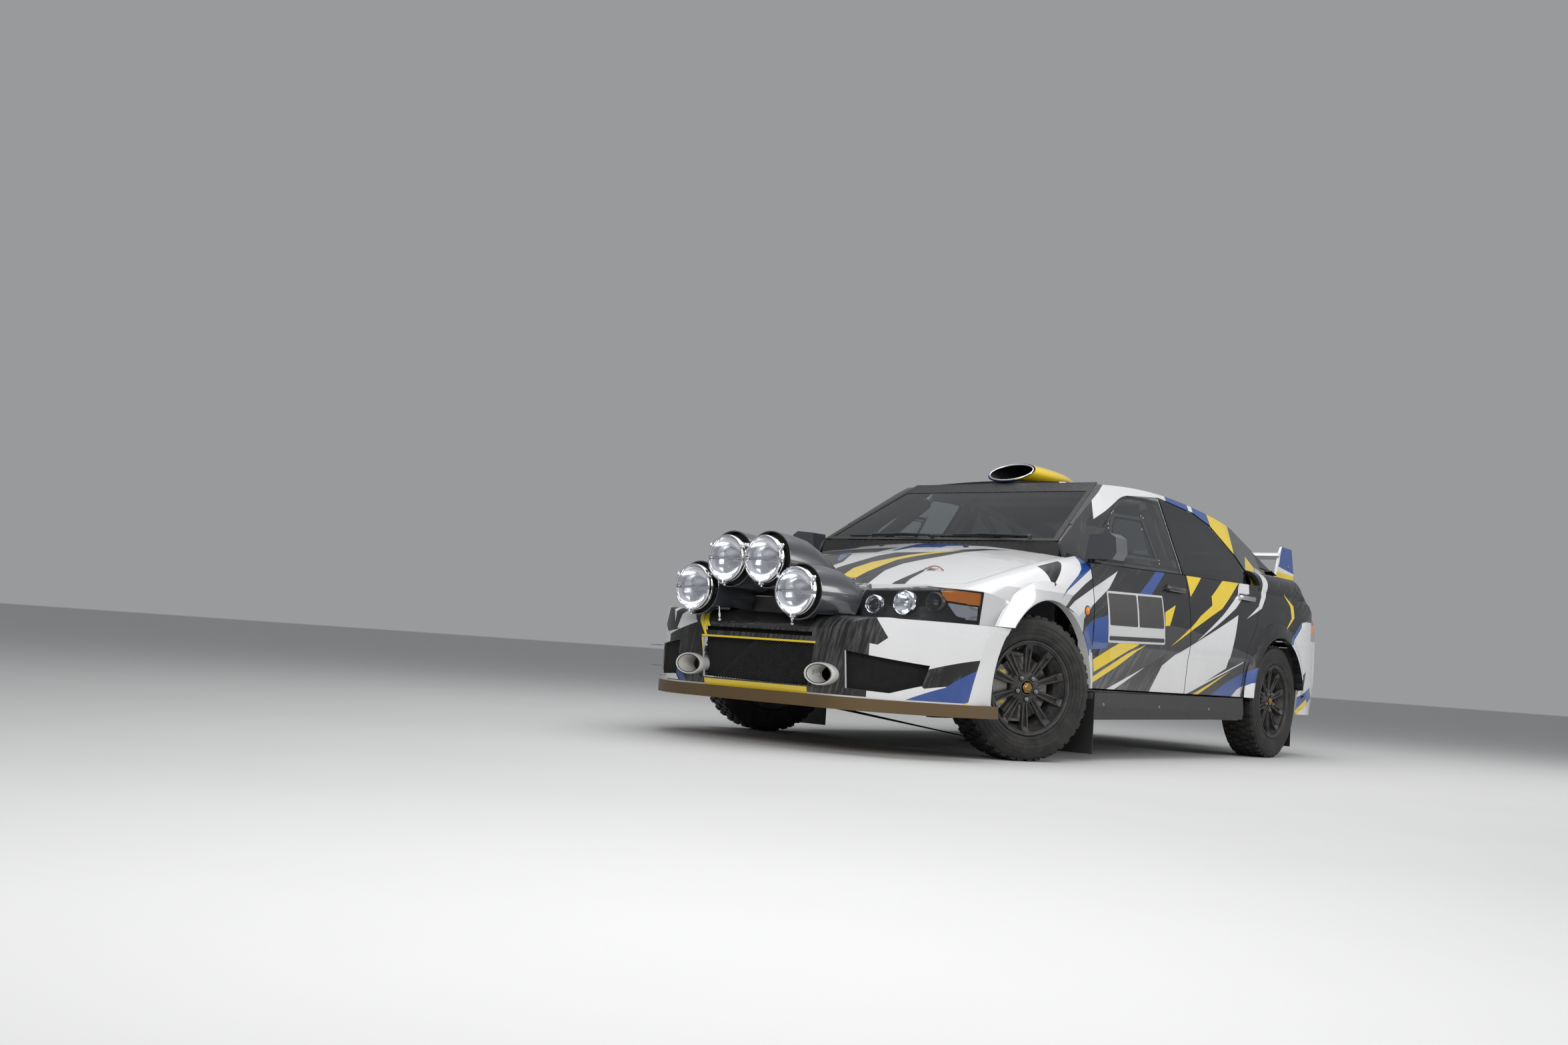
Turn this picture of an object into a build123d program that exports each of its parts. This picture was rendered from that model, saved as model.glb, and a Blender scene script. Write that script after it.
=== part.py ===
"""Four-door saloon rally car, in millimetres.

Frame: +Z up, the front of the car faces -Y and its left side is +X.
The origin lies on the ground under the middle of the car's overall box.
A station is the distance behind the front bumper's face.
"""
from build123d import *
import os
from math import atan2, cos, degrees, hypot, radians, sin, tan

os.makedirs("parts", exist_ok=True)

# Overall layout
lamp_reach = 148            # the lamps stand this far ahead of the bumper's face
tail_station = 4432         # rear bumper's face
front_axle = 925
wheelbase = 2620
half_track = 760
ground_clearance = 190      # underside of bumpers and sills
body_half = 866             # half width at the doors' crease
flare_half = 884            # half width at the lips of the wheel arches
panel_gap = 6               # gap between panels
seat_gap = 0.3              # gap where a part rests on another

# Wheels
tyre_radius = 319
tyre_width = 205
rim_width = 178             # between the flanges
bead_radius = 190.5
flange_radius = 207
wheel_bolt_circle = 100
wheel_bolts = 5
bolt_bore = 13
hub_bore = 56
spokes = 10
brake_disc_radius = 150
front_arch_radius = 389
rear_arch_radius = 362
kingpin_half = 695          # steering axis, half distance
steer_at_rest = 25          # the wheels are turned to the right as the car stands

# Panels
skin = 20                   # double-walled panel with its inner stiffening
bumper_wall = 10
glass_thickness = 5
door_depth = 85             # whole door, outer skin to trim
door_skin = 18
door_step = 28              # the door's inner box ends this far inside its skin
pillar_depth = 50
roof_wall = 24

# Heights
sill_top = 330
crease_height = 540
belt_front = 912
belt_rear = 968
bumper_top = 566

# Stations of the panel edges
door_front = 1348
door_split = 2378
door_rear_top = 3292
door_rear_foot = 3088
cowl_station = 1268
boot_front = 3992
rear_axle = front_axle + wheelbase
middle = (tail_station - lamp_reach) / 2

side_plane = Plane(origin=(0, -middle, 0), x_dir=(0, 1, 0), z_dir=(1, 0, 0))


def plan_plane(height):
    """Local x is the car's X, local y is the station."""
    return Plane(origin=(0, -middle, height), x_dir=(1, 0, 0), z_dir=(0, 0, 1))


def front_plane(station):
    """Local x is the car's X, local y is the height; extrusion by a negative amount goes rearwards."""
    return Plane(origin=(0, station - middle, 0), x_dir=(1, 0, 0), z_dir=(0, -1, 0))


def outline(start, steps, both_sides=False):
    """Face from a start point and steps: (x, y) is a line, (mx, my, x, y) an arc through mx, my."""
    with BuildLine() as path:
        here = start
        for step in steps:
            if len(step) == 2:
                Line(here, step)
            else:
                ThreePointArc(here, step[:2], step[2:])
            here = step[-2:]
        if both_sides:
            mirror(about=Plane.YZ)
        elif here != start:
            Line(here, start)
    make_face(path.edges())


# Outlines of the body, as half plans (x, station) and half sections (x, height)
bumper_plan = [(290, -16), (620, 70, 790, 262), (846, 400, body_half, 640), (body_half, 1500), (0, 1500)]
nose_plan = [(330, 172), (620, 300, 792, 478), (850, 590, body_half, 760), (body_half, 1500), (0, 1500)]
tail_plan = [(560, tail_station - 14), (742, tail_station - 60, 806, tail_station - 190),
             (850, 4000, body_half, 3700), (body_half, 3000), (0, 3000)]
side_section = [(832, ground_clearance), (body_half - 6, crease_height - 14), (body_half, crease_height),
                (body_half - 4, 740, 822, 940), (790, 1110), (0, 1110)]
hood_front_edge = (150, 690)
hood_rear_edge = (1290, 992)
hood_sagitta = 20
hood_crown = 55             # drop from the middle of the hood to its side edge
hood_half = 716
roof_front_edge = (1900, 1384)
roof_rear_edge = (3262, 1350)
roof_sagitta = 40
roof_crown = 34


def arc_frame(front, rear, sagitta):
    """Radius, centre and end angles of a shallow arc in the side view."""
    chord = hypot(rear[0] - front[0], rear[1] - front[1])
    radius = (chord ** 2 / 4 + sagitta ** 2) / (2 * sagitta)
    tilt = atan2(rear[1] - front[1], rear[0] - front[0])
    drop = radius - sagitta
    centre = ((front[0] + rear[0]) / 2 + drop * sin(tilt), (front[1] + rear[1]) / 2 - drop * cos(tilt))
    return radius, centre, degrees(tilt)


def crowned_volume(front, rear, sagitta, section, depth, overrun):
    """Turn a half section (x, height under the arc) about the arc's centre; depth is how far it reaches down."""
    radius, centre, tilt = arc_frame(front, rear, sagitta)
    half_angle = degrees(hypot(rear[0] - front[0], rear[1] - front[1]) / 2 / radius)
    ahead, behind = (degrees(run / radius) for run in overrun)
    start = -tilt + half_angle + behind
    up = (sin(radians(start)), cos(radians(start)))
    origin = (0, centre[0] - middle, centre[1])
    plane = Plane(origin=origin, x_dir=(1, 0, 0), z_dir=(0, -up[1], up[0]))
    with BuildPart() as volume:
        with BuildSketch(plane):
            steps = [tuple(v if i % 2 == 0 else radius + v for i, v in enumerate(step)) for step in section]
            foot = radius - depth
            outline(steps[0], steps[1:] + [(steps[-1][-2], foot), (0, foot)], both_sides=True)
        revolve(axis=Axis(origin, (1, 0, 0)), revolution_arc=2 * half_angle + ahead + behind)
    return volume.part


def hood_volume(inset, overrun=(260, 200)):
    """Everything under the hood's and front wings' upper surface."""
    section = [(0, -inset), (hood_half / 2, -inset - hood_crown * 0.27, hood_half, -inset - hood_crown),
               (hood_half + 92 - inset * 0.7, -inset * 0.8 - hood_crown - 34, body_half - inset, -hood_crown - 118)]
    return crowned_volume(hood_front_edge, hood_rear_edge, hood_sagitta, section, 900, overrun)


def roof_volume(inset, overrun=(500, 900)):
    """Everything under the roof's upper surface."""
    section = [(0, -inset), (300, -inset - roof_crown * 0.25, 620, -inset - roof_crown),
               (1000, -inset - roof_crown - 120)]
    return crowned_volume(roof_front_edge, roof_rear_edge, roof_sagitta, section, 700, overrun)


def prism(plane, start, steps, depth, both_sides=False, both=False, inset=0):
    """Solid from an outline, for cutting out panels."""
    with BuildPart() as solid:
        with BuildSketch(plane):
            outline(start, steps, both_sides)
            if inset:
                offset(amount=-inset)
        extrude(amount=depth, both=both)
    return solid.part


def side_volume(inset):
    """Between the two body sides, from the sills to above the belt."""
    return prism(front_plane(-200), (0, ground_clearance), side_section, -(tail_station + 400), True, inset=inset)


def bumper_volume(inset):
    """Front bumper's bulk."""
    with BuildPart() as volume:
        add(prism(plan_plane(100), (0, -26), [bumper_plan[0]] + bumper_plan[1:], 600, True, inset=inset))
        profile = [(4, 186), (-26, 300), (-26, 470), (14, 548, 96, bumper_top), (1500, bumper_top), (1500, 186)]
        add(prism(side_plane, (4, 186), profile[1:], 1000, both=True, inset=inset), mode=Mode.INTERSECT)
        add(side_volume(inset), mode=Mode.INTERSECT)
    return volume.part


def nose_volume(inset):
    """Nose, hood and front wings above the bumper."""
    with BuildPart() as volume:
        add(prism(plan_plane(100), (0, 150), nose_plan, 1000, True, inset=inset))
        add(hood_volume(inset), mode=Mode.INTERSECT)
        add(side_volume(inset), mode=Mode.INTERSECT)
    return volume.part


def tail_volume(inset):
    """Rear wings, boot and rear bumper."""
    with BuildPart() as volume:
        add(prism(plan_plane(100), (0, tail_station), tail_plan, 1100, True, inset=inset))
        profile = [(tail_station - 40, 250), (tail_station, 330), (tail_station, 560),
                   (tail_station - 24, 640), (tail_station - 52, 700), (tail_station - 40, 980),
                   (tail_station - 62, 1048), (4200, 1068, 3990, 1074), (3000, 1100), (3000, 250)]
        add(prism(side_plane, profile[0], profile[1:], 1000, both=True, inset=inset), mode=Mode.INTERSECT)
        section = side_section[:2] + [(body_half - 2, crease_height), (body_half - 6, 740, 822, 930),
                                      (800, 1010, 700, 1052), (350, 1074, 0, 1080)]
        add(prism(front_plane(2800), (0, ground_clearance), section, -2000, True, inset=inset),
            mode=Mode.INTERSECT)
    return volume.part


glass_lean = 26.5           # the side glass leans in by this angle
cabin_plan = [(728, 1210), (806, 1760), (822, 2378), (800, 3290), (716, 4060), (0, 4060)]
cabin_base = 925


def cabin_volume(inset, top=600):
    """Glasshouse between windscreen, roof and rear screen."""
    with BuildPart() as volume:
        with BuildSketch(plan_plane(cabin_base - 60)):
            outline((0, 1000), [(728 + 30, 1000)] + [(x + 30, s) for x, s in cabin_plan[:-1]] + [(0, 4060)], True)
            if inset:
                offset(amount=-inset / cos(radians(glass_lean)))
        extrude(amount=top, taper=glass_lean)
        profile = [(1210 + 2 * inset, 965), (1894 + 2 * inset, 1369), (1930, 1500), (3230, 1500),
                   (3284 - 2.6 * inset, 1344), (3992 - 2.6 * inset, 1072), (3992, 800), (1210, 800)]
        add(prism(side_plane, profile[0], profile[1:], 1000, both=True), mode=Mode.INTERSECT)
        add(roof_volume(inset), mode=Mode.INTERSECT)
    return volume.part


def shell(volume, wall, inset=0):
    """Skin of a volume between two insets."""
    with BuildPart() as skin_part:
        add(volume(inset))
        add(volume(inset + wall), mode=Mode.SUBTRACT)
    return skin_part.part


def wheel_axis(station, x=0, height=tyre_radius):
    """Plane across the car at an axle, for circles about the wheel's centre."""
    return Plane(origin=(x, station - middle, height), x_dir=(0, 1, 0), z_dir=(1, 0, 0))


def arch_cut(station, radius, inner=470):
    """Open cylinder over each wheel, both sides of the car."""
    with BuildPart() as well:
        with BuildSketch(wheel_axis(station, inner)):
            Circle(radius)
        extrude(amount=700)
        mirror(about=Plane.YZ)
    return well.part


def arch_flare(station, radius, reach=84):
    """Widened lip round a wheel arch, left side."""
    with BuildPart() as lip:
        plane = Plane(origin=(0, station - middle, tyre_radius), x_dir=(0, 0, 1), z_dir=(0, 1, 0))
        with BuildSketch(plane):
            outline((radius, body_half - skin), [(radius, flare_half), (radius + 8, flare_half),
                                                 (radius + reach, body_half - 4), (radius + reach, body_half - skin)])
        revolve(axis=Axis(plane.origin, (1, 0, 0)), revolution_arc=360)
    return lip.part


def both_wings(left):
    """A left-hand piece and its mirror image."""
    with BuildPart() as pair:
        add(left)
        mirror(about=Plane.YZ)
    return pair.part


def block(low, high):
    """Box between two corners given as (x, station, height)."""
    with BuildPart() as solid:
        with BuildSketch(plan_plane(low[2])):
            with Locations(((low[0] + high[0]) / 2, (low[1] + high[1]) / 2)):
                Rectangle(high[0] - low[0], high[1] - low[1])
        extrude(amount=high[2] - low[2])
    return solid.part


def save(part, name):
    part.label = name
    export_step(part, f"parts/{name}.step")


far = 2400
left_half = prism(plan_plane(-10), (0, -300), [(1100, -300), (1100, 4700), (0, 4700)], 1700)

# Outlines of the panels
hood_plan = [(312, 100), (350, 262), (560, 372), (704, 500), (hood_half, 640), (hood_half + 2, cowl_station - 14),
             (0, cowl_station)]
headlamp_front = [(371, 688), (600, 716), (800, 706), (792, bumper_top + 3)]
headlamp_start = (332, bumper_top + 3)
door_rear_edge = [(door_rear_foot, 501), (3101, 593), (3223, 728), (3278, 825), (3299, 882), (3342, 962)]
front_glass = [(1448, 921), (1500, 990), (1908, 1252), (1990, 1290, 2090, 1316), (2470, 1352), (2372, 944)]
rear_glass = [(2384, 945), (2482, 1352), (2880, 1322), (3060, 1272), (3270, 1118), (3374, 1006), (3350, 967)]
windscreen_front = [(700, 978), (551, 1362)]
screen_rear = [(672, 1096), (552, 1330)]
boot_half = 640
boot_floor = 650
lamp_box = ((520, 690), (860, 868))


def region(start, steps, gap=0):
    """Prism through the left half in the side view, grown by a gap."""
    return prism(side_plane, start, steps, 1100, inset=-gap)


def front_region(start, steps, near, reach, gap=0, both_sides=False):
    """Prism along the car in the front view."""
    return prism(front_plane(near), start, steps, -reach, both_sides, inset=-gap)


hood_prism = prism(plan_plane(640), (0, 100), hood_plan, 500, True)
hood_gap_prism = prism(plan_plane(500), (0, 100), hood_plan, 700, True, inset=-panel_gap)
headlamp_prism = front_region(headlamp_start, headlamp_front, 0, 600)
headlamp_gap_prism = front_region(headlamp_start, headlamp_front, 0, 600, gap=3)

# Hood
with BuildPart() as hood:
    add(shell(nose_volume, skin))
    add(hood_prism, mode=Mode.INTERSECT)
    add(both_wings(front_region(headlamp_start, headlamp_front, 0, 600, gap=panel_gap)), mode=Mode.SUBTRACT)
save(hood.part, "hood")

# Front wings with their flared arches
with BuildPart() as fender:
    add(shell(nose_volume, skin))
    add(arch_flare(front_axle, front_arch_radius))
    add(region((380, bumper_top + 3), [(648, bumper_top + 3), (648, 333), (door_front - panel_gap, 333),
                                       (door_front - panel_gap, 1100), (380, 1100)]), mode=Mode.INTERSECT)
    add(hood_gap_prism, mode=Mode.SUBTRACT)
    add(headlamp_gap_prism, mode=Mode.SUBTRACT)
    add(arch_cut(front_axle, front_arch_radius), mode=Mode.SUBTRACT)
    add(prism(plan_plane(700), (0, cowl_station - 6), [(745, cowl_station - 6), (745, 1400), (0, 1400)], 500),
        mode=Mode.SUBTRACT)
    add(cabin_volume(-seat_gap), mode=Mode.SUBTRACT)
print("fender solids", [round(s.volume) for s in fender.part.solids()])
save(both_wings(fender.part.solids().sort_by(SortBy.VOLUME)[-1]), "front_fenders")

# Headlamps
with BuildPart() as headlamp:
    add(shell(nose_volume, 90, 1))
    add(headlamp_prism, mode=Mode.INTERSECT)
save(both_wings(headlamp.part.solids().sort_by(SortBy.VOLUME)[-1]), "headlamps")

# Front bumper, its openings cut from the front
intake = ((293, 268), (315, 443))
slot = ((300, 472), (300, 490))
duct_centre = (366, 320)
duct_radius = 62
fog_opening = [(735, 300), (640, 262), (476, 270)]
bumper_bottom = 234
with BuildPart() as front_bumper:
    add(shell(bumper_volume, bumper_wall))
    add(region((-80, bumper_bottom), [(642, bumper_bottom), (642, 620), (-80, 620)]), mode=Mode.INTERSECT)
    add(prism(plan_plane(0), (0, 205), [(640, 205), (640, 900), (0, 900)], 900), mode=Mode.SUBTRACT)
    add(front_region((0, intake[0][1]), [intake[0], intake[1], (0, intake[1][1])], -80, 280), mode=Mode.SUBTRACT)
    add(front_region((0, slot[0][1]), [slot[0], slot[1], (0, slot[1][1])], -80, 280), mode=Mode.SUBTRACT)
    add(front_region((463, 424), [(752, 384)] + fog_opening, -80, 420), mode=Mode.SUBTRACT)
    with BuildSketch(front_plane(-40)):
        with Locations(duct_centre):
            Circle(duct_radius + 10)
    extrude(amount=-60)
    with BuildSketch(front_plane(-80)):
        with Locations(duct_centre):
            Circle(duct_radius)
    extrude(amount=-280, mode=Mode.SUBTRACT)
    add(arch_cut(front_axle, front_arch_radius), mode=Mode.SUBTRACT)
    mirror(about=Plane.YZ)
print("front bumper", len(front_bumper.part.solids()))
save(front_bumper.part, "front_bumper")

# Lower lip and undertray in one piece
lip_bottom = 182
with BuildPart() as front_lip:
    add(prism(plan_plane(lip_bottom), (0, -26), bumper_plan, bumper_bottom - lip_bottom, True, inset=-8))
    add(prism(plan_plane(lip_bottom + 10), (0, -26), bumper_plan, 80, True, inset=16), mode=Mode.SUBTRACT)
    add(prism(plan_plane(0), (0, -80), [(1000, -80), (1000, 520), (400, 640), (400, 840), (0, 840)], 400, True),
        mode=Mode.INTERSECT)
    add(prism(plan_plane(0), (0, -80), [(1000, -80), (1000, 1290), (0, 1290)], lip_bottom, True),
        mode=Mode.SUBTRACT)
    add(prism(plan_plane(lip_bottom + 10), (0, 540), [(1000, 540), (1000, 1400), (0, 1400)], 400, True),
        mode=Mode.SUBTRACT)
    add(prism(plan_plane(bumper_bottom), (0, -80), [(1000, -80), (1000, 1290), (0, 1290)], 300, True),
        mode=Mode.SUBTRACT)
    add(arch_cut(front_axle, front_arch_radius), mode=Mode.SUBTRACT)
save(front_lip.part, "front_lip")

# Rear wings, boot lid, tail lamps and rear bumper
lamp_low, lamp_high = lamp_box
boot_prism_steps = [(boot_half, boot_front), (boot_half, tail_station + 80), (0, tail_station + 80)]
bumper_split = [(3900, boot_floor), (tail_station + 80, boot_floor), (tail_station + 80, 200), (3900, 200)]
lamp_prism = prism(front_plane(4120), lamp_low, [(lamp_high[0], lamp_low[1]), lamp_high,
                                                  (lamp_low[0], lamp_high[1])], -500)
lamp_gap_prism = prism(front_plane(4120 - panel_gap), lamp_low, [(lamp_high[0], lamp_low[1]), lamp_high,
                                                      (lamp_low[0], lamp_high[1])], -500, inset=-panel_gap)
lamp_seat_prism = prism(front_plane(4120 - seat_gap), lamp_low, [(lamp_high[0], lamp_low[1]), lamp_high,
                                                                 (lamp_low[0], lamp_high[1])], -500,
                        inset=-seat_gap)
with BuildPart() as quarter:
    add(shell(tail_volume, skin))
    add(arch_flare(rear_axle, rear_arch_radius))
    add(region((door_rear_foot + panel_gap, sill_top + 3),
               [(s + panel_gap + 2, z) for s, z in door_rear_edge] + [(3360, 1110), (tail_station + 80, 1110),
                                                                      (tail_station + 80, sill_top + 3)]),
        mode=Mode.INTERSECT)
    add(region(bumper_split[0], bumper_split[1:], gap=seat_gap), mode=Mode.SUBTRACT)
    add(cabin_volume(-seat_gap), mode=Mode.SUBTRACT)
    add(prism(plan_plane(boot_floor - 40), (0, boot_front), boot_prism_steps, 600, inset=-panel_gap),
        mode=Mode.SUBTRACT)
    add(lamp_seat_prism, mode=Mode.SUBTRACT)
    add(arch_cut(rear_axle, rear_arch_radius), mode=Mode.SUBTRACT)
    add(prism(plan_plane(900), (0, 3000), [(690, 3000), (690, boot_front + 10), (0, boot_front + 10)], 300),
        mode=Mode.SUBTRACT)
print("quarter solids", [round(s.volume) for s in quarter.part.solids()])
save(both_wings(quarter.part.solids().sort_by(SortBy.VOLUME)[-1]), "rear_quarters")

with BuildPart() as boot_lid:
    add(shell(tail_volume, skin))
    add(prism(plan_plane(boot_floor + 3), (0, boot_front), boot_prism_steps, 600, True), mode=Mode.INTERSECT)
    add(both_wings(lamp_gap_prism), mode=Mode.SUBTRACT)
save(boot_lid.part, "boot_lid")

with BuildPart() as tail_lamps:
    add(shell(tail_volume, 50, 1))
    add(lamp_prism, mode=Mode.INTERSECT)
save(both_wings(tail_lamps.part.solids().sort_by(SortBy.VOLUME)[-1]), "tail_lamps")

with BuildPart() as rear_bumper:
    add(shell(tail_volume, bumper_wall))
    add(prism(side_plane, bumper_split[0], bumper_split[1:], 1100, both=True), mode=Mode.INTERSECT)
    add(prism(plan_plane(0), (0, 3800), [(812, 3800), (812, 4060), (700, tail_station - 120),
                                         (0, tail_station - 120)], 400, True), mode=Mode.SUBTRACT)
    with BuildSketch(front_plane(4200)):
        with Locations((-330, 300)):
            Circle(44)
    extrude(amount=-400, mode=Mode.SUBTRACT)
    add(block((286, 4290, 230), (314, 4345, 275)), mode=Mode.SUBTRACT)
    add(arch_cut(rear_axle, rear_arch_radius), mode=Mode.SUBTRACT)
print("rear bumper", len(rear_bumper.part.solids()))
save(rear_bumper.part, "rear_bumper")

# Doors with their mirrors, and the side glass
door_steps = {
    "front": ((door_front, sill_top + 4), [(door_split, sill_top + 4), (door_split - 8, belt_front + 28),
                                           (door_front, belt_front)]),
    "rear": ((door_split + panel_gap, sill_top + 4),
             [(door_rear_foot, sill_top + 4)] + door_rear_edge + [(door_split - 8 + panel_gap, belt_front + 28)]),
}
glass_steps = {"front": front_glass, "rear": rear_glass}
mirror_low, mirror_high = (806, 1338, 930), (966, 1446, 1052)
for place, (start, steps) in door_steps.items():
    with BuildPart() as door:
        add(shell(side_volume, door_skin))
        add(region(start, steps), mode=Mode.INTERSECT)
        with BuildPart(mode=Mode.PRIVATE) as inner_box:
            add(shell(side_volume, door_depth - door_skin, door_skin))
            add(region(start, steps, gap=-door_step), mode=Mode.INTERSECT)
        add(inner_box.part)
        if place == "front":
            with BuildSketch(front_plane(mirror_low[1])):
                outline((mirror_low[0], mirror_low[2]), [(mirror_high[0] - 20, mirror_low[2]),
                        (mirror_high[0], mirror_low[2] + 30), (mirror_high[0] - 8, mirror_high[2] - 20),
                        (mirror_high[0] - 40, mirror_high[2]), (mirror_low[0] + 16, mirror_high[2] - 8)])
            extrude(amount=mirror_low[1] - mirror_high[1])
            with BuildSketch(front_plane(mirror_high[1] - 40)):
                outline((772, 905), [(812, 905), (830, 944), (812, 960), (790, 936)])
            extrude(amount=-70)
    door_solid = door.part.solids().sort_by(SortBy.VOLUME)[-1]
    print(place, "door", [round(s.volume) for s in door.part.solids()])
    save(Part(door_solid.wrapped), f"door_{place}_left")
    save(Part(mirror(door_solid, about=Plane.YZ).wrapped), f"door_{place}_right")
    glass = glass_steps[place]
    with BuildPart() as pane:
        add(shell(cabin_volume, glass_thickness, 4))
        add(region(glass[0], glass[1:]), mode=Mode.INTERSECT)
    pane_solid = pane.part.solids().sort_by(SortBy.VOLUME)[-1]
    print(place, "glass", [round(s.volume) for s in pane.part.solids()])
    save(Part(pane_solid.wrapped), f"window_{place}_left")
    save(Part(mirror(pane_solid, about=Plane.YZ).wrapped), f"window_{place}_right")

# Windscreen, rear screen, roof panel
screen_gap = 3
roof_half = 560
front_screen_prism = front_region((0, windscreen_front[0][1]), windscreen_front + [(0, 1364)], 1100, 900,
                                  both_sides=True)
rear_screen_prism = front_region((0, screen_rear[0][1]), screen_rear + [(0, 1334)], 3240, 900, both_sides=True)
with BuildPart() as windscreen:
    add(shell(cabin_volume, glass_thickness, 3))
    add(front_screen_prism, mode=Mode.INTERSECT)
save(Part(windscreen.part.solids().sort_by(SortBy.VOLUME)[-1].wrapped), "windscreen")
with BuildPart() as rear_screen:
    add(shell(cabin_volume, glass_thickness, 3))
    add(rear_screen_prism, mode=Mode.INTERSECT)
save(Part(rear_screen.part.solids().sort_by(SortBy.VOLUME)[-1].wrapped), "rear_screen")

roof_steps = [(roof_half, 1700), (roof_half, 3400), (0, 3400)]
with BuildPart() as roof_panel:
    add(shell(cabin_volume, roof_wall))
    add(prism(plan_plane(1240), (0, 1700), roof_steps, 300, True), mode=Mode.INTERSECT)
    add(front_region((0, 1200), [(700, 1200), (551, 1362 + screen_gap), (0, 1364 + screen_gap)], 1100, 900,
                     both_sides=True), mode=Mode.SUBTRACT)
    add(front_region((0, 1200), [(700, 1200), (552, 1330 + screen_gap), (0, 1334 + screen_gap)], 3240, 900,
                     both_sides=True), mode=Mode.SUBTRACT)
print("roof", [round(s.volume) for s in roof_panel.part.solids()])
save(Part(roof_panel.part.solids().sort_by(SortBy.VOLUME)[-1].wrapped), "roof_panel")

# Side frames: sill, posts, pillars and roof rail round the door openings
rabbet = 4 + glass_thickness + seat_gap
glass_lap = 14
post_inner = 690
sill_front = 1336


with BuildPart() as upper_frame:
    add(shell(cabin_volume, pillar_depth))
    add(block((0, 1200, 906), (900, 3990, 1500)), mode=Mode.INTERSECT)
    add(block((0, 1600, 1240), (roof_half + 0.3, 3400, 1600)), mode=Mode.SUBTRACT)
    with BuildPart(mode=Mode.PRIVATE) as screen_rabbets:
        add(shell(cabin_volume, 3 + glass_thickness + seat_gap))
        with BuildPart(mode=Mode.PRIVATE) as both_screens:
            add(front_region((0, 900), [(733, 900), (549, 1372), (0, 1372)], 1100, 900))
            add(front_region((0, 900), [(768, 900), (548, 1345), (0, 1345)], 3240, 900))
        add(both_screens.part, mode=Mode.INTERSECT)
    add(screen_rabbets.part, mode=Mode.SUBTRACT)
    add(front_region((0, 900), [(715, 900), (531, 1372), (0, 1372)], 1000, 1000), mode=Mode.SUBTRACT)
    add(front_region((0, 900), [(745, 900), (530, 1345), (0, 1345)], 3240, 900), mode=Mode.SUBTRACT)
    for glass in glass_steps.values():
        with BuildPart(mode=Mode.PRIVATE) as glass_rabbet:
            add(shell(cabin_volume, rabbet + 1, -1))
            add(region(glass[0], glass[1:], gap=panel_gap), mode=Mode.INTERSECT)
        add(glass_rabbet.part, mode=Mode.SUBTRACT)
        add(region(glass[0], glass[1:], gap=-glass_lap), mode=Mode.SUBTRACT)
    for start, steps in door_steps.values():
        add(region(start, steps, gap=panel_gap), mode=Mode.SUBTRACT)

with BuildPart() as side_frame:
    add(upper_frame.part)
    with BuildPart(mode=Mode.PRIVATE) as sill:
        add(block((700, sill_front, 205), (900, 3100, sill_top - 4)))
        add(side_volume(1), mode=Mode.INTERSECT)
    add(sill.part)
    add(block((700, 1296, 321), (742, 1342, 950)))
    add(block((700, sill_front, 205), (742, 1380, 420)))
    with BuildPart(mode=Mode.PRIVATE) as post:
        add(block((post_inner, 2318, 300), (900, 2412, 1006)))
        add(side_volume(door_depth + panel_gap), mode=Mode.INTERSECT)
    add(post.part)
    with BuildPart(mode=Mode.PRIVATE) as post_head:
        add(block((post_inner, 2318, 974), (900, 2440, 1012)))
        add(cabin_volume(rabbet + 1), mode=Mode.INTERSECT)
    add(post_head.part)
    with BuildPart(mode=Mode.PRIVATE) as seal:
        add(block((post_inner, 2322, 560), (900, 2344, 640)))
        add(side_volume(door_depth + seat_gap), mode=Mode.INTERSECT)
    add(seal.part)
    with BuildPart(mode=Mode.PRIVATE) as rear_seal:
        add(block((post_inner, door_rear_foot - 17, 400), (900, door_rear_foot - 2, 480)))
        add(side_volume(door_skin + seat_gap), mode=Mode.INTERSECT)
    add(rear_seal.part)
    with BuildSketch(Plane(origin=(post_inner, -middle, 0), x_dir=(0, 1, 0), z_dir=(1, 0, 0))):
        outline((3071, 300), [(3168, 300), (3168, 520), (3250, 700), (3420, 790), (3640, 800), (3640, 1000),
                              (3352, 1000), (3300, 880), (3222, 740), (3096, 610), (3071, 520)])
    extrude(amount=42)
print("side frame", [round(s.volume) for s in side_frame.part.solids()])
with BuildPart() as trimmed_frame:
    add(side_frame.part.solids().sort_by(SortBy.VOLUME)[-1])
    add(rear_screen.part, mode=Mode.SUBTRACT)
frame_solid = trimmed_frame.part.solids().sort_by(SortBy.VOLUME)[-1]
save(both_wings(frame_solid), "side_frames")

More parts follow.
